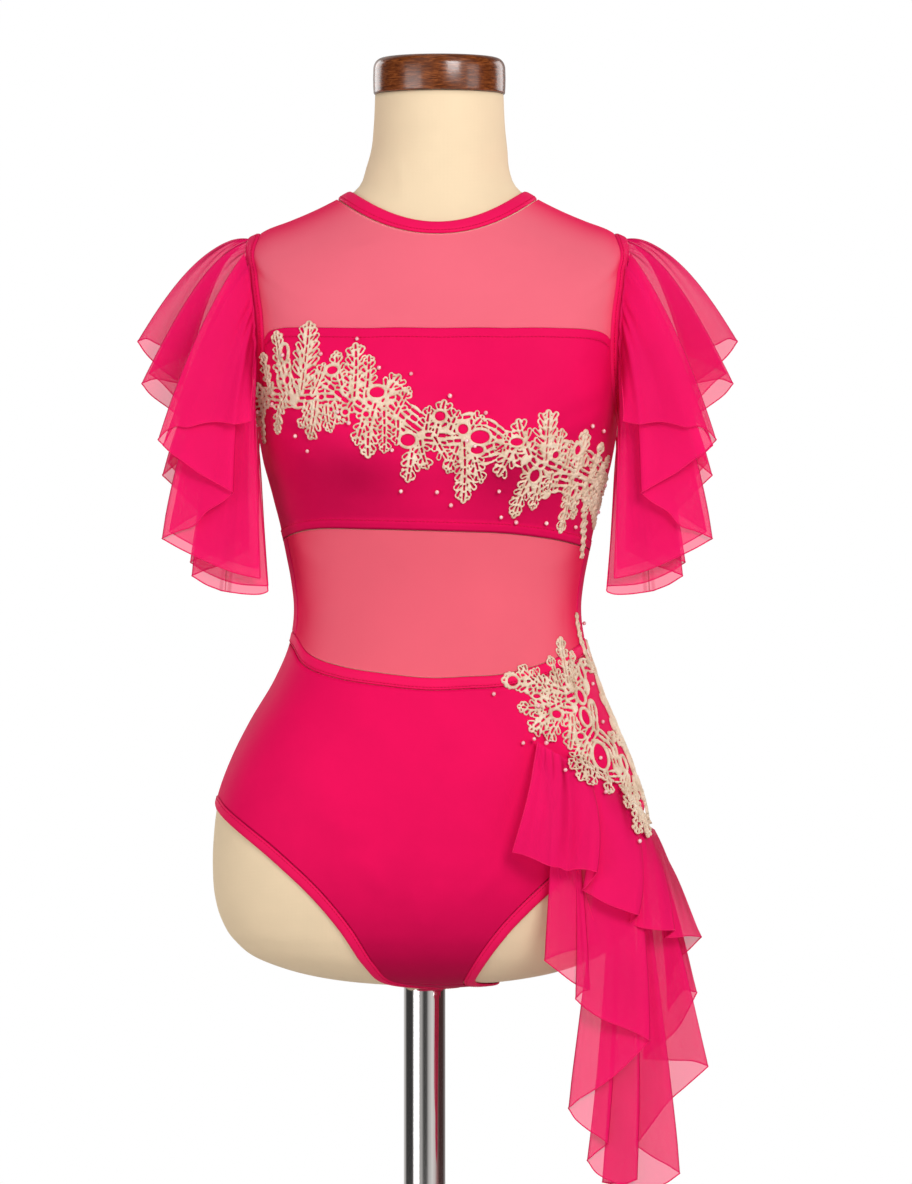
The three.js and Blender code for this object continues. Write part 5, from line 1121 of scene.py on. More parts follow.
LOWER = [
    (0.0, 0.4, 600, 942, -97, 0.5, 5), (0.03, 0.4, 580, 948, -97, 0.5, 5), (0.06, 0.4, 562, 952.5, -98, 0.5, 6), (0.1, 0.4, 544.3, 960, -99, 0.5, 7, "f"), (0.13, 0.4, 557, 970, -99.5, 0.5, 7), (0.17, 0.4, 576, 984, -100, 0.5, 8), (0.2, 0.4, 590, 989, -100.5, 0.5, 8, "f"),
    (0.2, 0.4, 583, 991, -101.5, 0.5, 8), (0.22, 0.4, 575.3, 998.4, -102, 0.5, 8, "f"), (0.25, 0.4, 583.5, 1006.5, -103, 0.5, 9), (0.34, 0.4, 601.5, 1018.5, -103, 0.5, 10), (0.44, 0.4, 620, 1026, -101, 0.5, 11), (0.52, 0.4, 636, 1032.5, -97, 0.5, 12), (0.6, 0.4, 650, 1040.5, -92, 0.5, 13, "f"),
    (0.56, 0.4, 635, 1056, -93, 0.5, 11), (0.52, 0.4, 619.5, 1071, -93.5, 0.5, 9), (0.48, 0.4, 604.5, 1083, -93.5, 0.5, 8), (0.45, 0.4, 592, 1091, -93, 0.5, 7), (0.43, 0.4, 579, 1099, -92.5, 0.5, 6), (0.42, 0.4, 568.3, 1108, -91, 0.5, 5, "f"),
    (0.46, 0.3, 575, 1118.5, -89.5, 0.5, 7), (0.5, 0.3, 590, 1131, -87, 0.5, 9), (0.53, 0.3, 600, 1137, -85, 0.5, 9), (0.55, 0.3, 608.3, 1143.5, -82.5, 0.5, 10, "f"), (0.53, 0.3, 597, 1151.5, -80.5, 0.5, 9), (0.5, 0.3, 587, 1160, -79, 0.5, 8, "f"),
    (0.54, 0.3, 596, 1172.5, -77.5, 0.5, 9), (0.57, 0.3, 611, 1181, -77, 0.5, 10), (0.58, 0.3, 622, 1184.5, -76, 0.5, 10), (0.6, 0.3, 637.5, 1179, -73.5, 0.5, 11, "f"), (0.58, 0.3, 626, 1183, -71.5, 0.5, 10), (0.52, 0.3, 602, 1182, -69.5, 0.5, 9, "f"), (0.59, 0.3, 624, 1187, -67.5, 0.5, 10), (0.62, 0.3, 645, 1188, -66, 0.5, 6), (0.65, 0.2, 664, 1184, -63, 0.5, 6), (0.68, 0.2, 680, 1173, -60, 0.5, 6, "f"),
    (0.68, 0.2, 668, 1165, -57.5, 0.5, 6), (0.67, 0.2, 655, 1158, -55.5, 0.5, 6), (0.66, 0.2, 636, 1145, -52.5, 0.5, 5, "f"), (0.68, 0.2, 650, 1126, -51, 0.5, 6), (0.71, 0.2, 668, 1102, -48.5, 0.5, 6), (0.74, 0.1, 686, 1086, -44.5, 0.5, 6), (0.78, 0.1, 708.3, 1066, -40, 0.5, 6, "f"),
    (0.78, 0.1, 694, 1061, -37, 0.5, 6), (0.76, 0.1, 672, 1060, -34, 0.5, 6), (0.72, 0.0, 643, 1058, -30, 0.5, 6, "f"), (0.84, 0.0, 676, 1030, -24, 0.5, 5), (0.88, 0.0, 690, 1006, -16, 0.5, 4), (0.92, 0.0, 697, 992, -8, 0.5, 4, "f"), (0.95, 0.0, 684, 990, 4, 0.5, 4), (1.0, 0.0, 668, 1010, 20, 0.5, 4),
]


def sleeve_seam(loop, rise, share):
    def f(turn, lift):
        a, t = arm_loop(loop, turn, -1)
        p = on(a, t, loop["off"] + rise + share * lift)
        o = np.zeros_like(p)
        o[:, 0] = -1
        return p, o
    return f


def drape_seam(k, lift):
    a = np.interp(k, DRAPE_SEAM[:, 0], DRAPE_SEAM[:, 1])
    t = np.interp(k, DRAPE_SEAM[:, 0], DRAPE_SEAM[:, 2])
    return on(a, t, 4.4 + lift), body_normal(a, t)


def build_flounces():
    for tag, mirror in (("L", False), ("R", True)):
        for part, rows, seam, deep in (("front", SLEEVE_FRONT, sleeve_seam(MID_BAND, 1.6, 0.8), 0.85), ("main", SLEEVE_MAIN, sleeve_seam(ARM_FREE, 0.3, 0.3), 0.35), ("back", SLEEVE_BACK, sleeve_seam(MID_BAND, 1.6, 0.8), 0.85)):
            ob, hem = flounce(f"flounce_{part}_{tag}", rows, seam, deep, mirror)
            done(ob, "chiffon", f"sleeve_{part}_{tag}")
            done(hem, "chiffon")
    for part, rows, gap in (("upper", UPPER, 4.2), ("lower", LOWER, 3.0)):
        ob, hem = flounce(f"drape_{part}", rows, drape_seam, 0.5, False, ripple=1.7, gap=gap)
        done(ob, "chiffon", f"hip_drape_{part}")
        done(hem, "chiffon")


# ---------------------------------------------------------------- guipure lace
class LaceCloth:
    """A height field of thick cords on the unrolled body: u runs round, z is the height; both in mm."""

    def __init__(self, a0, a1, z0, z1, ring, step, levels, rest):
        self.rest = rest
        self.A = np.arange(a0, a1 + 0.5, 1.0)
        P = body(self.A, ring)
        self.U = np.r_[0, np.cumsum(np.linalg.norm(np.diff(P, axis=0), axis=1))]
        self.z0, self.z1, self.step = z0, z1, step
        self.nu, self.nz = int(self.U[-1] / step) + 1, int((z1 - z0) / step) + 1
        self.F = np.full((self.nz, self.nu), 9.0)
        self.H = np.zeros((self.nz, self.nu))
        self.holes = []
        lv = np.linspace(levels[0], levels[1], 400)
        Z = body(self.A[None, :], lv[:, None])[..., 2]
        self.zz = np.arange(z0 - 4, z1 + 4, 1.0)
        self.L = np.stack([np.interp(self.zz, Z[:, i], lv) for i in range(len(self.A))])

    def angle(self, u):
        return np.interp(u, self.U, self.A)

    def level(self, a, z):
        i = np.clip((a - self.A[0]), 0, len(self.A) - 1.001)
        j = np.clip(z - self.zz[0], 0, len(self.zz) - 1.001)
        i0, j0 = i.astype(int), j.astype(int)
        fi, fj = i - i0, j - j0
        L = self.L
        return (L[i0, j0] * (1 - fi) + L[i0 + 1, j0] * fi) * (1 - fj) + (L[i0, j0 + 1] * (1 - fi) + L[i0 + 1, j0 + 1] * fi) * fj

    def spot(self, px, py):
        """Where a picture place falls on the unrolled cloth."""
        a, t = shows_at(px, py, 3.0)
        for _ in range(3):
            off = float(self.rest(np.array([a]), np.array([t]))[0]) + 0.8
            a, t = shows_at(px, py, off)
        a = float(np.clip(a, self.A[0], self.A[-1]))
        return np.array([np.interp(a, self.A, self.U), body(a, t)[2]])

    def dist(self, caps, lo, hi):
        """Least signed distance to a list of capsules (p, q, r0, r1) over a window of cells."""
        i0, i1 = max(0, int(lo[0] / self.step)), min(self.nu, int(hi[0] / self.step) + 2)
        j0, j1 = max(0, int((lo[1] - self.z0) / self.step)), min(self.nz, int((hi[1] - self.z0) / self.step) + 2)
        if i0 >= i1 or j0 >= j1:
            return None, None
        X, Y = np.meshgrid(np.arange(i0, i1) * self.step, self.z0 + np.arange(j0, j1) * self.step)
        out = np.full(X.shape, 9.0)
        for p, q, r0, r1 in caps:
            R = max(r0, r1) + 1.5
            x0, x1 = min(p[0], q[0]) - R, max(p[0], q[0]) + R
            y0, y1 = min(p[1], q[1]) - R, max(p[1], q[1]) + R
            k0, k1 = max(0, int(x0 / self.step) - i0), max(0, min(i1 - i0, int(x1 / self.step) + 2 - i0))
            l0, l1 = max(0, int((y0 - self.z0) / self.step) - j0), max(0, min(j1 - j0, int((y1 - self.z0) / self.step) + 2 - j0))
            if k0 >= k1 or l0 >= l1:
                continue
            x, y = X[l0:l1, k0:k1] - p[0], Y[l0:l1, k0:k1] - p[1]
            dx, dy = q[0] - p[0], q[1] - p[1]
            t = np.clip((x * dx + y * dy) / max(dx * dx + dy * dy, 1e-9), 0, 1)
            f = np.hypot(x - t * dx, y - t * dy) - (r0 + (r1 - r0) * t)
            out[l0:l1, k0:k1] = np.minimum(out[l0:l1, k0:k1], f)
        return out, (slice(j0, j1), slice(i0, i1))

    def paint(self, solid, slots=(), grooves=(), high=1.25, round_=1.05):
        """Lay a shape over what is there: it fills its outline, then its own slots are cut through."""
        P = np.array([c[0] for c in solid] + [c[1] for c in solid])
        R = max(max(c[2], c[3]) for c in solid) + 1.6
        lo, hi = P.min(0) - R, P.max(0) + R
        f, sub = self.dist(solid, lo, hi)
        if f is None:
            return
        g = f
        if slots:
            sl, _ = self.dist(slots, lo, hi)
            g = np.maximum(f, -sl)
        h = high * np.sqrt(np.clip(1 - (1 - np.clip(-g / round_, 0, 1)) ** 2, 0, 1))
        if grooves:
            gr, _ = self.dist(grooves, lo, hi)
            h = h * (0.2 + 0.8 * smoothstep(gr, -0.25, 0.5))
        old, oldh = self.F[sub], self.H[sub]
        inside = f < 0
        self.F[sub] = np.where(inside, g, np.minimum(old, f))
        self.H[sub] = np.where(inside, h, oldh)

    def curve(self, pts, step=1.6):
        P = np.asarray(pts, float)
        d = np.r_[0, np.cumsum(np.linalg.norm(np.diff(P, axis=0), axis=1))]
        n = max(4, int(d[-1] / step))
        s = np.linspace(0, d[-1], n)
        C = np.stack([np.interp(s, d, P[:, k]) for k in (0, 1)], -1)
        for _ in range(3):
            C[1:-1] = (C[:-2] + 2 * C[1:-1] + C[2:]) / 4
        T = np.gradient(C, axis=0)
        T /= np.linalg.norm(T, axis=1, keepdims=True) + 1e-9
        return C, T, np.stack([-T[:, 1], T[:, 0]], -1), s

    def band(self, pts, rows, pitch=5.0, slot=1.45, long=5.4, gap=3.0, taper=0.15, seed=1):
        """A strip of side by side cords: rows of slots run along a curve."""
        C, T, N, s = self.curve(pts)
        w = rows * pitch / 2 + 0.55
        k = 1 - taper * np.abs(2 * s / s[-1] - 1) ** 2
        edge = 1 + 0.09 * np.sin(s / 2.6 + seed) + 0.06 * np.sin(s / 1.3 + 2 * seed)
        solid = [(C[i], C[i + 1], w * k[i] * edge[i], w * k[i + 1] * edge[i + 1]) for i in range(len(C) - 1)]
        rg = np.random.default_rng(seed)
        slots, grooves = [], []
        for r in range(rows):
            o = (r - (rows - 1) / 2) * pitch
            q = rg.random() * 3 + 0.6
            while q < s[-1] - 1.0:
                l = long * (0.55 + 0.8 * rg.random())
                e = min(q + l, s[-1] - 0.6)
                a = np.array([np.interp(q, s, (C + N * (o * k)[:, None])[:, j]) for j in (0, 1)])
                b = np.array([np.interp(e, s, (C + N * (o * k)[:, None])[:, j]) for j in (0, 1)])
                slots.append((a, b, slot * (0.75 + 0.6 * rg.random()), slot * (0.6 + 0.6 * rg.random())))
                q = e + gap * (0.8 + 0.5 * rg.random())
        for r in range(rows - 1):
            o = (r + 1 - rows / 2) * pitch
            L = C + N * (o * k)[:, None]
            grooves += [(L[i], L[i + 1], 0.1, 0.1) for i in range(len(L) - 1)]
        self.paint(solid, slots, grooves if rows > 1 else ())

    def ring(self, c, rx, ry, r=1.9, tilt=0.0, n=18):
        """An open ring of two cords."""
        th = np.radians(np.linspace(0, 360, n + 1))
        ct, s_ = math.cos(tilt), math.sin(tilt)

        def loop(e):
            x, y = (rx + e) * np.cos(th), (ry + e) * np.sin(th)
            return np.stack([c[0] + x * ct - y * s_, c[1] + x * s_ + y * ct], -1)

        L, G = loop(r * 0.85), loop(r * 1.02)
        self.paint([(L[i], L[i + 1], r, r) for i in range(n)], (), [(G[i], G[i + 1], 0.12, 0.12) for i in range(n)] if r > 1.2 else ())
        self.holes.append((c[0], c[1], rx, ry, tilt))

    def leaf(self, B, T, w, n=4, bow=0.0, seed=0, finger=2.75):
        """A leaf: a rib with a row of slots, rounded slotted fingers at both sides and a lobed tip."""
        B, T = np.asarray(B, float), np.asarray(T, float)
        d = T - B
        L = np.linalg.norm(d) + 1e-9
        d /= L
        nrm = np.array([-d[1], d[0]])
        rg = np.random.default_rng(seed)
        ax = lambda s: B + d * L * s + nrm * bow * 4 * s * (1 - s)
        dr = lambda s: (lambda v: v / (np.linalg.norm(v) + 1e-9))(ax(s + 0.02) - ax(s - 0.02))
        n = max(2, int(round((L - 6) / 7.6)))
        tip = min(3.1, max(2.0, w * 0.3))
        solid, slots, grooves = [], [], []
        end = 1 - tip / L
        m = 9
        for i in range(m):
            a, b = i / m * end, (i + 1) / m * end
            solid.append((ax(a), ax(b), 2.5 - 0.7 * a, 2.5 - 0.7 * b))
        solid.append((ax(end), ax(end), tip * 0.95, tip * 0.95))
        for k in (1, -1):
            e = dr(0.97)
            mm_ = np.array([-e[1], e[0]]) * k
            q = ax(end) + (e * 0.15 + mm_ * 0.95) * tip * 1.25 - e * tip * 0.9
            solid.append((ax(end - 0.05), q, tip * 0.7, tip * 0.78))
            slots.append((ax(end) + (q - ax(end)) * 0.7, ax(end) + (q - ax(end)) * 0.95, 0.55, 0.55))
        q = 0.04 * L
        while q < L * end - 1:
            l = 2.4 + 2.6 * rg.random()
            e_ = min(q + l, L * end)
            slots.append((ax(q / L), ax(e_ / L), 1.0, 0.8))
            q = e_ + 2.7 + 0.9 * rg.random()
        slots.append((ax(end), ax(end + 0.4 * tip / L), 0.62, 0.5))
        for side in (1, -1):
            for j in range(n):
                s = 0.02 + (end - 0.14) * (j + 0.35 + 0.3 * rg.random()) / n
                e, c = dr(s), ax(s)
                mm_ = np.array([-e[1], e[0]]) * side
                k = math.radians(60 - 22 * s + 10 * (rg.random() - 0.5))
                shape = (0.62 + 1.25 * s - 1.55 * s * s) / 0.87
                reach = max(2.6, w * shape * (0.86 + 0.28 * rg.random()) - finger * 0.6)
                v = math.cos(k) * e + math.sin(k) * mm_
                q = c + v * reach
                f = finger * (0.86 + 0.2 * rg.random())
                bend = c + (v * 0.55 + mm_ * 0.12) * reach
                solid += [(c, bend, f * 0.62, f * 0.72), (bend, q, f * 0.72, f * 0.86)]
                slots.append((c + (bend - c) * 0.9, c + (q - c) * 0.98, 0.75, 1.25 if reach > 4.5 else 0.85))
                if reach > 7:
                    # a knob at the side of a long finger
                    o = np.array([-v[1], v[0]]) * (1 if rg.random() > 0.5 else -1)
                    p = c + v * reach * 0.7 + o * f * 0.95
                    solid.append((c + v * reach * 0.6, p, f * 0.5, f * 0.6))
        self.paint(solid, slots, grooves)

    def carve(self):
        U = np.arange(self.nu) * self.step
        Zv = self.z0 + np.arange(self.nz) * self.step
        for x, y, rx, ry, tilt in self.holes:
            R = max(rx, ry) + 2.5
            i0, i1 = max(0, int((x - R) / self.step)), min(self.nu, int((x + R) / self.step) + 2)
            j0, j1 = max(0, int((y - R - self.z0) / self.step)), min(self.nz, int((y + R - self.z0) / self.step) + 2)
            X, Y = np.meshgrid(U[i0:i1], Zv[j0:j1])
            dx, dy = X - x, Y - y
            c, s = math.cos(tilt), math.sin(tilt)
            e = np.hypot((dx * c + dy * s) / rx, (-dx * s + dy * c) / ry)
            f = (1 - e) * min(rx, ry)
            sub = (slice(j0, j1), slice(i0, i1))
            old = self.F[sub]
            self.F[sub] = np.maximum(old, f)
            self.H[sub] = np.minimum(self.H[sub], 1.25 * np.sqrt(np.clip(1 - (1 - np.clip(-np.maximum(old, f) / 1.05, 0, 1)) ** 2, 0, 1)) + np.where(e > 1.5, 9, 0))

    def mesh(self, name, mat, rest, lift=0.2):
        self.carve()
        F, H, st = self.F, self.H, self.step
        gz, gu = np.gradient(F, st)
        g = np.hypot(gz, gu) + 1e-6
        U, Zv = np.meshgrid(np.arange(self.nu) * st, self.z0 + np.arange(self.nz) * st)
        inside = F < 0
        cell = (inside[:-1, :-1].astype(int) + inside[1:, :-1] + inside[:-1, 1:] + inside[1:, 1:]) >= 2
        used = np.zeros_like(inside)
        used[:-1, :-1] |= cell
        used[1:, :-1] |= cell
        used[:-1, 1:] |= cell
        used[1:, 1:] |= cell
        around = np.zeros(F.shape, int)
        around[:-1, :-1] += cell
        around[1:, :-1] += cell
        around[:-1, 1:] += cell
        around[1:, 1:] += cell
        edge = used & (around < 4)
        move = np.where(edge, np.clip(-F, -st, st) * 1.0, 0.0)
        U = U + move * gu / g
        Zv = Zv + move * gz / g
        H = np.where(edge, 0.0, H)
        # worn threads: a very slight unevenness
        H = H * (1 + 0.06 * np.sin(U * 1.9 + 2.0 * np.sin(Zv * 0.7)) * np.sin(Zv * 2.3 + np.sin(U)))
        idx = -np.ones(F.shape, int)
        idx[used] = np.arange(used.sum())
        a = self.angle(U[used])
        t = self.level(a, Zv[used])
        off = rest(a, t)
        base = np.where(edge[used], 0.0, 0.42)
        P = on(a, t, off + lift + base + H[used])
        jj, ii = np.nonzero(cell)
        Q = np.stack([idx[jj, ii], idx[jj, ii + 1], idx[jj + 1, ii + 1], idx[jj + 1, ii]], -1)
        # a skirt down to the cloth round every edge, so the cords have sides
        E = np.concatenate([Q[:, [0, 1]], Q[:, [1, 2]], Q[:, [2, 3]], Q[:, [3, 0]]])
        key = np.sort(E, 1)
        k2 = key[:, 0].astype(np.int64) * len(P) + key[:, 1]
        un, inv, cnt = np.unique(k2, return_inverse=True, return_counts=True)
        rim = E[cnt[inv] == 1]
        rv = np.unique(rim)
        low = -np.ones(len(P), int)
        low[rv] = len(P) + np.arange(len(rv))
        Pl = on(a[rv], t[rv], off[rv] - 0.1)
        S = np.stack([rim[:, 1], rim[:, 0], low[rim[:, 0]], low[rim[:, 1]]], -1)
        return make(name, np.concatenate([P, Pl]), np.concatenate([Q, S]), mat)


def rest_on(objects, a0, a1, t0, t1, least, far=45.0, blur=2):
    """How far out the cloth under a lace stands, as a smooth table over angle and level."""
    from mathutils import Vector
    from mathutils.bvhtree import BVHTree

    V, Fc, k = [], [], 0
    for ob in objects:
        me = ob.data
        co = np.empty(len(me.vertices) * 3)
        me.vertices.foreach_get("co", co)
        V.extend((co.reshape(-1, 3)).tolist())
        Fc.extend([tuple(v + k for v in p.vertices) for p in me.polygons])
        k = len(V)
    tree = BVHTree.FromPolygons(V, Fc)
    AA = np.arange(a0, a1 + 0.01, 1.0)
    TT = np.arange(t0, t1 + 0.01, 2.0)
    A, T = np.meshgrid(AA, TT, indexing="ij")
    P0, N = body(A, T), body_normal(A, T)
    out = np.full(A.shape, least)
    for i in range(A.shape[0]):
        for j in range(A.shape[1]):
            s = (P0[i, j] + N[i, j] * far) / 1000
            hit = tree.ray_cast(Vector(s), Vector(-N[i, j]), far / 1000)
            if hit[0] is not None:
                out[i, j] = max(least, far - hit[3] * 1000)
    top = out.copy()
    for _ in range(blur):
        for ax in (0, 1):
            top = np.maximum(top, np.maximum(np.roll(top, 1, ax), np.roll(top, -1, ax)))
    sm = top.copy()
    for _ in range(blur * 2):
        for ax in (0, 1):
            sm = (np.roll(sm, 1, ax) + 2 * sm + np.roll(sm, -1, ax)) / 4
    out = np.maximum(sm, out)

    def f(a, t):
        i = np.clip(a - a0, 0, len(AA) - 1.001)
        j = np.clip((t - t0) / 2.0, 0, len(TT) - 1.001)
        i0, j0 = i.astype(int), j.astype(int)
        fi, fj = i - i0, j - j0
        return (out[i0, j0] * (1 - fi) + out[i0 + 1, j0] * fi) * (1 - fj) + (out[i0, j0 + 1] * (1 - fi) + out[i0 + 1, j0 + 1] * fi) * fj

    return f


# leaves: base x, y, tip x, y, half width, bow; bands: points and rows; rings: x, y, half width, half height; all in picture places
BUST_LEAVES = [
    (253, 394, 250, 372, 5, 0), (262, 396, 253, 366, 7, 1), (266, 398, 254, 384, 6, 0), (272, 394, 262, 352, 9, 2), (290, 392, 276, 330, 13, 3), (301, 392, 309, 320, 17, -2), (312, 394, 324, 362, 9, -2),
    (262, 398, 264, 444, 5, 0), (268, 400, 258, 424, 6, 1), (286, 394, 277, 435, 9, -3), (316, 400, 309, 440, 12, 2), (310, 404, 299, 428, 8, 1), (326, 406, 331, 433, 9, -1), (334, 404, 343, 424, 9, -1),
    (346, 394, 336, 350, 10, 2), (354, 398, 355, 342, 15, -2), (366, 398, 369, 354, 10, -1), (382, 402, 401, 374, 13, 1), (396, 414, 410, 386, 9, 0), (376, 402, 368, 459, 13, -2), (368, 408, 356, 446, 10, 0), (384, 410, 384, 454, 9, 1),
    (352, 402, 340, 420, 9, 0), (398, 420, 396, 446, 9, 1), (414, 436, 407, 483, 12, 1), (420, 440, 428, 470, 10, -1), (434, 436, 453, 470, 10, 0), (436, 434, 445, 399, 12, 0), (426, 430, 430, 405, 9, 0), (450, 430, 460, 410, 9, 1),
    (470, 430, 484, 415, 10, 0), (464, 440, 463, 504, 15, 1), (458, 446, 447, 474, 9, 0), (472, 444, 482, 484, 10, -1), (514, 444, 497, 477, 12, 1), (512, 440, 494, 452, 8, 0), (530, 456, 518, 418, 13, 2), (520, 448, 504, 434, 8, 1),
    (546, 462, 549, 409, 17, 1), (556, 460, 563, 428, 10, 0), (534, 470, 513, 519, 12, -2), (540, 478, 532, 511, 9, 0), (552, 474, 548, 494, 9, 0), (572, 478, 560, 534, 12, 2), (586, 484, 582, 560, 7, 1), (576, 486, 573, 520, 9, 0),
    (576, 474, 587, 429, 13, 1), (566, 466, 572, 440, 9, 0), (590, 478, 603, 442, 10, 0), (594, 484, 610, 456, 8, 0), (594, 486, 607, 480, 7, 0), (592, 488, 604, 508, 9, 0), (588, 490, 597, 528, 8, 0), (604, 474, 612, 494, 6, 0),
]
BUST_SPINES = [
    ([(250, 396), (268, 396), (286, 398), (306, 398), (328, 396), (350, 398), (370, 402)], 3), ([(282, 366), (284, 380), (292, 396)], 3), ([(322, 374), (338, 384), (352, 398), (366, 408)], 3), ([(362, 388), (376, 400), (394, 414), (410, 428), (428, 438)], 3),
    ([(392, 400), (406, 412), (424, 426), (442, 434), (456, 444)], 3), ([(424, 440), (444, 442), (464, 440), (470, 452)], 3), ([(452, 426), (472, 422), (492, 432), (510, 446), (524, 458)], 3), ([(468, 452), (484, 456), (496, 450), (512, 452), (530, 462)], 3),
    ([(510, 446), (530, 452), (548, 462), (566, 470), (586, 482), (606, 488)], 3), ([(528, 462), (540, 482), (546, 492)], 3), ([(546, 450), (564, 450), (582, 458), (600, 470)], 3), ([(540, 486), (560, 482), (580, 488), (596, 496)], 3),
]
BUST_RINGS = [
    (284, 353, 3.8, 7.6), (287, 366, 2.8, 2.6), (287, 380, 3.6, 3.8), (332, 370, 5.6, 4.0), (377, 392, 7.2, 5.2), (408, 440, 7.4, 5.8), (440, 416, 5.4, 4.6), (463, 429, 5.0, 4.8), (480, 437, 9.6, 6.4), (477, 450, 6.6, 3.8),
    (535, 476, 6.0, 6.0), (578, 450, 4.8, 4.6), (586, 461, 2.8, 4.2), (573, 493, 3.6, 4.0), (321, 397, 3.2, 2.4), (366, 414, 2.8, 2.6), (517, 442, 6.4, 3.6), (556, 455, 4.6, 3.4), (345, 412, 3.0, 2.6), (541, 466, 3.4, 2.0), (303, 366, 1.8, 2.6),
]
BUST_BEADS = [(357, 339), (321, 354), (379, 368), (411, 374), (273, 404), (349, 423), (308, 451), (392, 450), (450, 396), (486, 413), (401, 491), (437, 492), (451, 505), (499, 491), (501, 517), (516, 522), (546, 523), (603, 431), (592, 426),
              (604, 485), (597, 512), (575, 527), (296, 436), (338, 412), (381, 415), (258, 412), (259, 425), (283, 355), (467, 441), (475, 446)]
HIP_LEAVES = [
    (592, 668, 577, 612, 5, 4), (568, 684, 561, 636, 12, 1), (562, 690, 549, 655, 9, 0), (574, 688, 572, 650, 8, 0), (566, 692, 501, 680, 14, -3), (548, 692, 518, 666, 10, 0), (546, 688, 533, 668, 8, 0), (560, 700, 517, 706, 10, 4),
    (556, 706, 529, 731, 13, 1), (562, 712, 548, 741, 10, 0), (572, 716, 570, 750, 12, 1), (566, 700, 540, 712, 8, 0), (586, 738, 571, 769, 9, 0), (588, 744, 580, 781, 10, 0), (590, 748, 590, 779, 8, 0),
    (606, 772, 609, 794, 8, 0), (596, 768, 588, 784, 7, 0), (628, 776, 637, 834, 10, 1), (634, 778, 648, 838, 11, -1), (626, 776, 627, 808, 8, 0), (596, 668, 592, 640, 6, 0), (610, 734, 624, 744, 7, 0), (640, 786, 652, 824, 8, 0),
]
HIP_SPINES = [
    ([(592, 654), (597, 676), (604, 698), (612, 716), (620, 736), (629, 756), (636, 776), (643, 796)], 2), ([(566, 688), (570, 702), (572, 720), (578, 738), (586, 752), (593, 768), (606, 776), (626, 776)], 2),
    ([(530, 684), (548, 692), (566, 694), (584, 684)], 4), ([(582, 736), (598, 734), (612, 746), (618, 768)], 2), ([(592, 704), (594, 728), (584, 744)], 2), ([(570, 684), (584, 664), (594, 668)], 2), ([(548, 704), (562, 706), (574, 708)], 2),
]
HIP_RINGS = [(581, 696, 5.8, 6.2), (586, 717, 6.2, 7.6), (601, 756, 9.4, 12.4), (624, 763, 4.4, 6.4), (513, 681, 6.0, 4.8), (557, 714, 5.8, 3.8), (582, 672, 4.6, 6.8), (603, 699, 2.6, 4.0), (613, 724, 2.6, 4.6), (581, 736, 4.8, 2.8), (537, 696, 4.6, 2.0), (636, 800, 2.0, 3.6)]
HIP_BEADS = [(488, 694), (523, 743), (534, 739), (546, 743), (565, 770), (602, 722), (639, 841), (605, 792), (538, 706), (600, 758), (592, 684), (588, 624)]


def lace_motif(cloth, leaves, spines, rings, beads):
    K = SCALE
    for i, (pts, rows) in enumerate(spines):
        cloth.band([cloth.spot(*p) for p in pts], rows, seed=i + 2)
    for i, (bx, by, tx, ty, w, bow) in enumerate(leaves):
        cloth.leaf(cloth.spot(bx, by), cloth.spot(tx, ty), w * K, bow=bow * K, seed=i + 5)
    for x, y, rx, ry in rings:
        cloth.ring(cloth.spot(x, y), rx * K, ry * K, 1.3 if min(rx, ry) > 3.6 else 0.95)
    return [cloth.spot(*p) for p in beads]


def pearl(c, r):
    n, m = 8, 5
    pts, F = [], []
    for j in range(m + 1):
        ph = math.pi * j / m
        for i in range(n):
            th = 2 * math.pi * i / n
            pts.append([c[0] + r * math.sin(ph) * math.cos(th), c[1] + r * math.sin(ph) * math.sin(th), c[2] + r * math.cos(ph)])
    for f in quads(m + 1, n, True):
        F.append(tuple(f))
    return np.array(pts), F


def build_lace():
    by = {o.name: o for o in PIECES}
    step = 0.58
    # bust
    under = [by[k] for k in ("bust_front", "yoke_front", "midriff", "side_piece_L", "side_piece_R", "armhole_trim_L", "armhole_trim_R")]
    rest = rest_on(under, 186, 354, 850, 1120, 1.3, 20.0, 1)
    cloth = LaceCloth(189, 353, 860, 1064, 975, step, (850, 1125), rest)
    spots = lace_motif(cloth, BUST_LEAVES, BUST_SPINES, BUST_RINGS, BUST_BEADS)
    ob = cloth.mesh("guipure_bust", GUIPURE, rest)
    done(ob, "guipure", "bust_lace")
    beads = []
    for u, z in spots:
        a = cloth.angle(np.array([u]))
        t = cloth.level(a, np.array([z]))
        beads.append(pearl(on(a, t, rest(a, t) + 1.6)[0], 1.55 + 0.35 * RNG.random()))
    # hip
    under = [by[k] for k in ("brief_front_cloth", "midriff", "side_piece_R", "waist_trim", "bust_front", "drape_upper", "drape_lower")]
    rest2 = rest_on(under, 296, 360, 600, 850, 1.6, 45.0, 2)
    cloth = LaceCloth(297, 359, 622, 836, 700, step, (600, 860), rest2)
    spots = lace_motif(cloth, HIP_LEAVES, HIP_SPINES, HIP_RINGS, HIP_BEADS)
    ob = cloth.mesh("guipure_hip", GUIPURE, rest2)
    done(ob, "guipure", "hip_lace")
    for u, z in spots:
        a = cloth.angle(np.array([u]))
        t = cloth.level(a, np.array([z]))
        beads.append(pearl(on(a, t, rest2(a, t) + 1.6)[0], 1.55 + 0.35 * RNG.random()))
    done(many("pearls", beads, BEAD), "guipure")




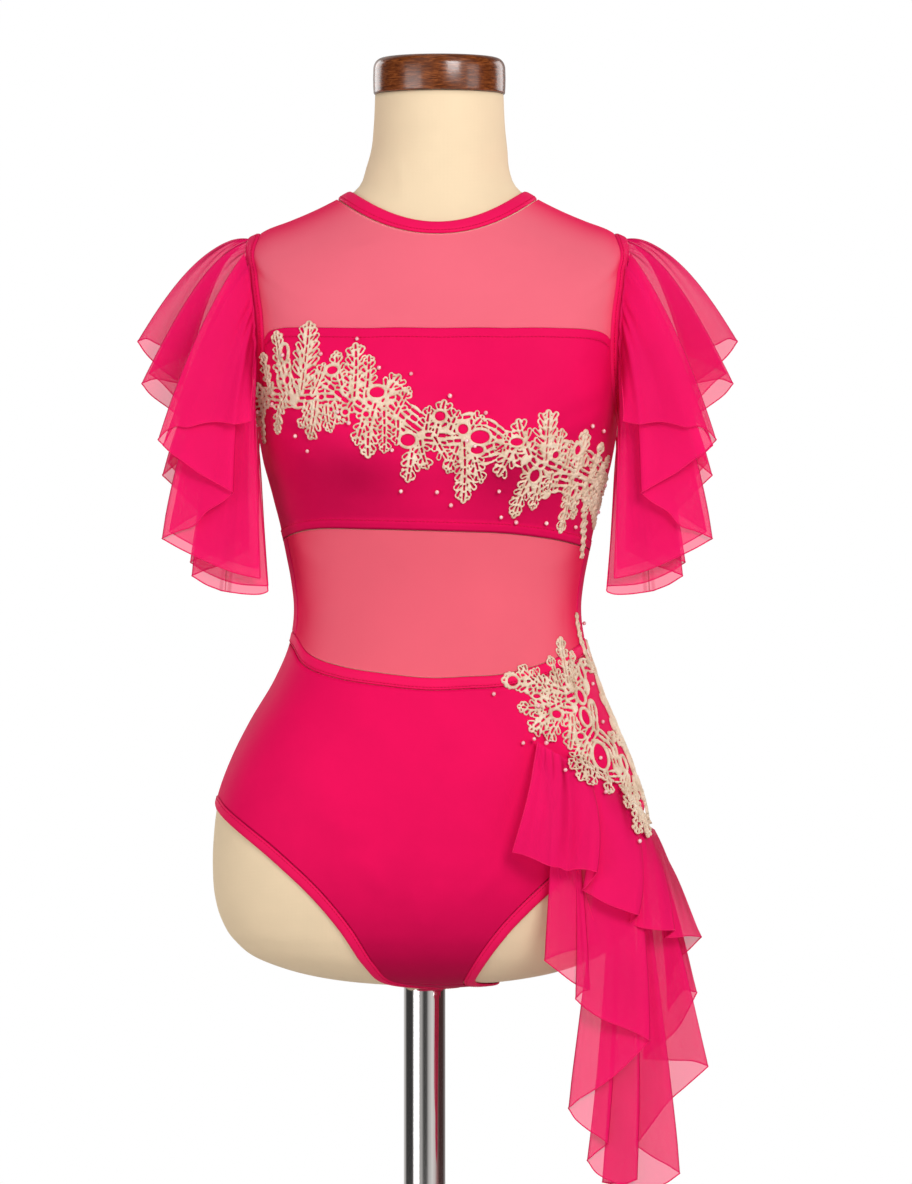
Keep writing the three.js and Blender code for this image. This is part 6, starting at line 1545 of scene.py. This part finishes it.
# ---------------------------------------------------------------- stage
# place across a polished upright rod from -1 to 1, brightness, and how red: the rod's stripes
PANELS = [(-1, 0.5, 1), (-0.95, 0.62, 1), (-0.86, 0.05, 1), (-0.6, 0.04, 1), (-0.5, 0.45, 1), (-0.3, 0.46, 1), (-0.14, 0.4, 1), (-0.04, 0.06, 1), (0.1, 0.07, 1), (0.2, 0.45, 1), (0.36, 0.72, 1), (0.5, 0.6, 0.9), (0.6, 0.3, 0.5), (0.7, 0.06, 0.4), (0.88, 0.06, 0.6), (1, 0.5, 1)]


def build_stage():
    sc = bpy.context.scene
    sc.view_settings.view_transform = "Standard"
    sc.view_settings.look = "None"
    sc.cycles.transparent_max_bounces = 32
    w = bpy.data.worlds.new("studio")
    sc.world = w
    w.use_nodes = True
    nt = w.node_tree
    nt.nodes.clear()
    out = nt.nodes.new("ShaderNodeOutputWorld")
    lp = nt.nodes.new("ShaderNodeLightPath")
    mix = nt.nodes.new("ShaderNodeMixShader")
    soft = nt.nodes.new("ShaderNodeBackground")
    soft.inputs["Color"].default_value = (1, 0.985, 0.97, 1)
    soft.inputs["Strength"].default_value = 0.34
    white = nt.nodes.new("ShaderNodeBackground")
    white.inputs["Color"].default_value = (1, 1, 1, 1)
    white.inputs["Strength"].default_value = 1.0
    # what polished metal and varnish mirror: a studio of tall light and dark panels round the stand
    tc = nt.nodes.new("ShaderNodeTexCoord")
    sep = nt.nodes.new("ShaderNodeSeparateXYZ")
    nt.links.new(tc.outputs["Generated"], sep.inputs[0])
    neg = nt.nodes.new("ShaderNodeMath")
    neg.operation = "MULTIPLY"
    neg.inputs[1].default_value = -1.0
    nt.links.new(sep.outputs["Y"], neg.inputs[0])
    at = nt.nodes.new("ShaderNodeMath")
    at.operation = "ARCTAN2"
    nt.links.new(sep.outputs["X"], at.inputs[0])
    nt.links.new(neg.outputs[0], at.inputs[1])
    mr = nt.nodes.new("ShaderNodeMapRange")
    mr.inputs["From Min"].default_value = -math.pi
    mr.inputs["From Max"].default_value = math.pi
    nt.links.new(at.outputs[0], mr.inputs["Value"])
    grey = lambda v, r=1.0: (v, v * 0.97 * r, v * 0.94 * r, 1)
    stops = []
    for place, v, r in PANELS:
        az = 2 * math.degrees(math.asin(max(-1, min(1, place))))
        stops.append(((az + 180) / 360, grey(v, r)))
    rp = ramp(nt, mr.outputs["Result"], stops)
    panels = nt.nodes.new("ShaderNodeBackground")
    nt.links.new(rp.outputs["Color"], panels.inputs["Color"])
    panels.inputs["Strength"].default_value = 1.0
    mix2 = nt.nodes.new("ShaderNodeMixShader")
    nt.links.new(lp.outputs["Is Glossy Ray"], mix2.inputs[0])
    nt.links.new(soft.outputs[0], mix2.inputs[1])
    nt.links.new(panels.outputs[0], mix2.inputs[2])
    nt.links.new(lp.outputs["Is Camera Ray"], mix.inputs[0])
    nt.links.new(mix2.outputs[0], mix.inputs[1])
    nt.links.new(white.outputs[0], mix.inputs[2])
    nt.links.new(mix.outputs[0], out.inputs["Surface"])

    def area(name, loc, target, size, power, color=(1, 1, 1), shape=None):
        li = bpy.data.lights.new(name, "AREA")
        li.energy = power
        li.size = size
        if shape:
            li.shape = "RECTANGLE"
            li.size_y = shape
        li.color = color
        ob = bpy.data.objects.new(name, li)
        bpy.context.scene.collection.objects.link(ob)
        ob.location = loc
        from mathutils import Vector
        d = Vector(target) - Vector(loc)
        ob.rotation_euler = d.to_track_quat("-Z", "Y").to_euler()
        return ob

    mid = (0.0, 0.0, 0.85)
    area("key", (1.35, -2.95, 2.25), mid, 1.3, 67)
    area("fill", (-2.4, -2.3, 0.75), (0, 0, 0.7), 1.8, 31)
    area("side", (2.7, -1.5, 1.2), mid, 1.2, 9)
    area("back_left", (-2.2, 2.4, 1.8), mid, 1.6, 22)
    area("back_right", (2.4, 2.2, 1.8), mid, 1.6, 22)
    cam = bpy.data.cameras.new("camera")
    cam.lens = LENS
    cam.sensor_width = 36
    cam.sensor_fit = "AUTO"
    cam.clip_end = 60
    ob = bpy.data.objects.new("camera", cam)
    bpy.context.scene.collection.objects.link(ob)
    ob.location = tuple(q / 1000 for q in EYE)
    ob.rotation_euler = (math.radians(90), 0, 0)
    sc.camera = ob
    # a pale round floor under the stand
    m, nt, b = material("floor")
    n = noise(nt, 3.0, 2.0, 0.5, coords(nt))
    c = ramp(nt, n.outputs["Fac"], [(0.3, (0.60, 0.59, 0.58, 1)), (0.7, (0.65, 0.64, 0.63, 1))])
    nt.links.new(c.outputs["Color"], b.inputs["Base Color"])
    b.inputs["Roughness"].default_value = 0.8
    k = 96
    pts = [[0, 0, -0.4]] + [[2900 * math.cos(2 * math.pi * i / k), 2900 * math.sin(2 * math.pi * i / k), -0.4] for i in range(k)]
    F = [(0, 1 + i, 1 + (i + 1) % k) for i in range(k)]
    fl = make("floor", pts, F, m, False)


build_stage()
build_form()
build_stand()
ST = build_panels()
ST += build_brief()
done(many("seam_stitches", ST, STITCH), "jersey")
build_flounces()
build_lace()


# ---------------------------------------------------------------- the cut of every cloth piece, in metres
# name: width, length, how it is held, what it rests on, flat area or None, pieces counted with it
SHEETS = {
    "yoke_front": (0.40, 0.155, "stretched", ["form_body"], 0.0352, []),
    "yoke_back": (0.40, 0.16, "stretched", ["form_body"], 0.0400, []),
    "bust_front": (0.43, 0.20, "stretched", ["form_body"], 0.0640, []),
    "bodice_back": (0.43, 0.28, "stretched", ["form_body"], 0.0860, []),
    "midriff": (0.31, 0.125, "stretched", ["form_body"], 0.0300, []),
    "side_piece_L": (0.032, 0.083, "stretched", ["form_body"], 0.0021, []),
    "side_piece_R": (0.032, 0.083, "stretched", ["form_body"], 0.0021, []),
    "neck_trim": (0.46, 0.0125, "stretched", ["form_body"], None, []),
    "armhole_trim_L": (0.44, 0.013, "stretched", ["form_body"], None, []),
    "armhole_trim_R": (0.44, 0.013, "stretched", ["form_body"], None, []),
    "waist_trim": (0.33, 0.012, "stretched", ["form_body"], None, []),
    "brief_front_cloth": (0.46, 0.30, "stretched", ["form_body"], 0.0735, []),
    "brief_back_cloth": (0.47, 0.33, "stretched", ["form_body"], 0.0940, []),
    "gusset_cloth": (0.075, 0.10, "stretched", ["form_body"], 0.0029, []),
    "leg_trim_L": (0.57, 0.0122, "stretched", ["form_body"], None, []),
    "leg_trim_R": (0.54, 0.0122, "stretched", ["form_body"], None, []),
    "flounce_front_L": (0.32, 0.24, "gathered", ["armhole_trim_L"], 0.0350, ["flounce_front_L_hem"]),
    "flounce_front_R": (0.32, 0.24, "gathered", ["armhole_trim_R"], 0.0350, ["flounce_front_R_hem"]),
    "flounce_main_L": (0.86, 0.22, "gathered", ["armhole_trim_L"], 0.0790, ["flounce_main_L_hem"]),
    "flounce_main_R": (0.86, 0.22, "gathered", ["armhole_trim_R"], 0.0790, ["flounce_main_R_hem"]),
    "flounce_back_L": (0.31, 0.24, "gathered", ["armhole_trim_L"], 0.0345, ["flounce_back_L_hem"]),
    "flounce_back_R": (0.31, 0.24, "gathered", ["armhole_trim_R"], 0.0345, ["flounce_back_R_hem"]),
    "drape_upper": (0.32, 0.125, "gathered", ["brief_front_cloth"], 0.0240, ["drape_upper_hem"]),
    "drape_lower": (0.80, 0.31, "gathered", ["brief_front_cloth"], 0.1080, ["drape_lower_hem"]),
    "guipure_bust": (0.37, 0.19, "laid", ["bust_front"], 0.0300, []),
    "guipure_hip": (0.16, 0.225, "laid", ["brief_front_cloth", "drape_upper"], 0.0150, []),
}


def declare():
    for name, (w, l, held, rests, area, extra) in SHEETS.items():
        kw = {} if area is None else {"area": area}
        if extra:
            kw["with_pieces"] = extra


declare()

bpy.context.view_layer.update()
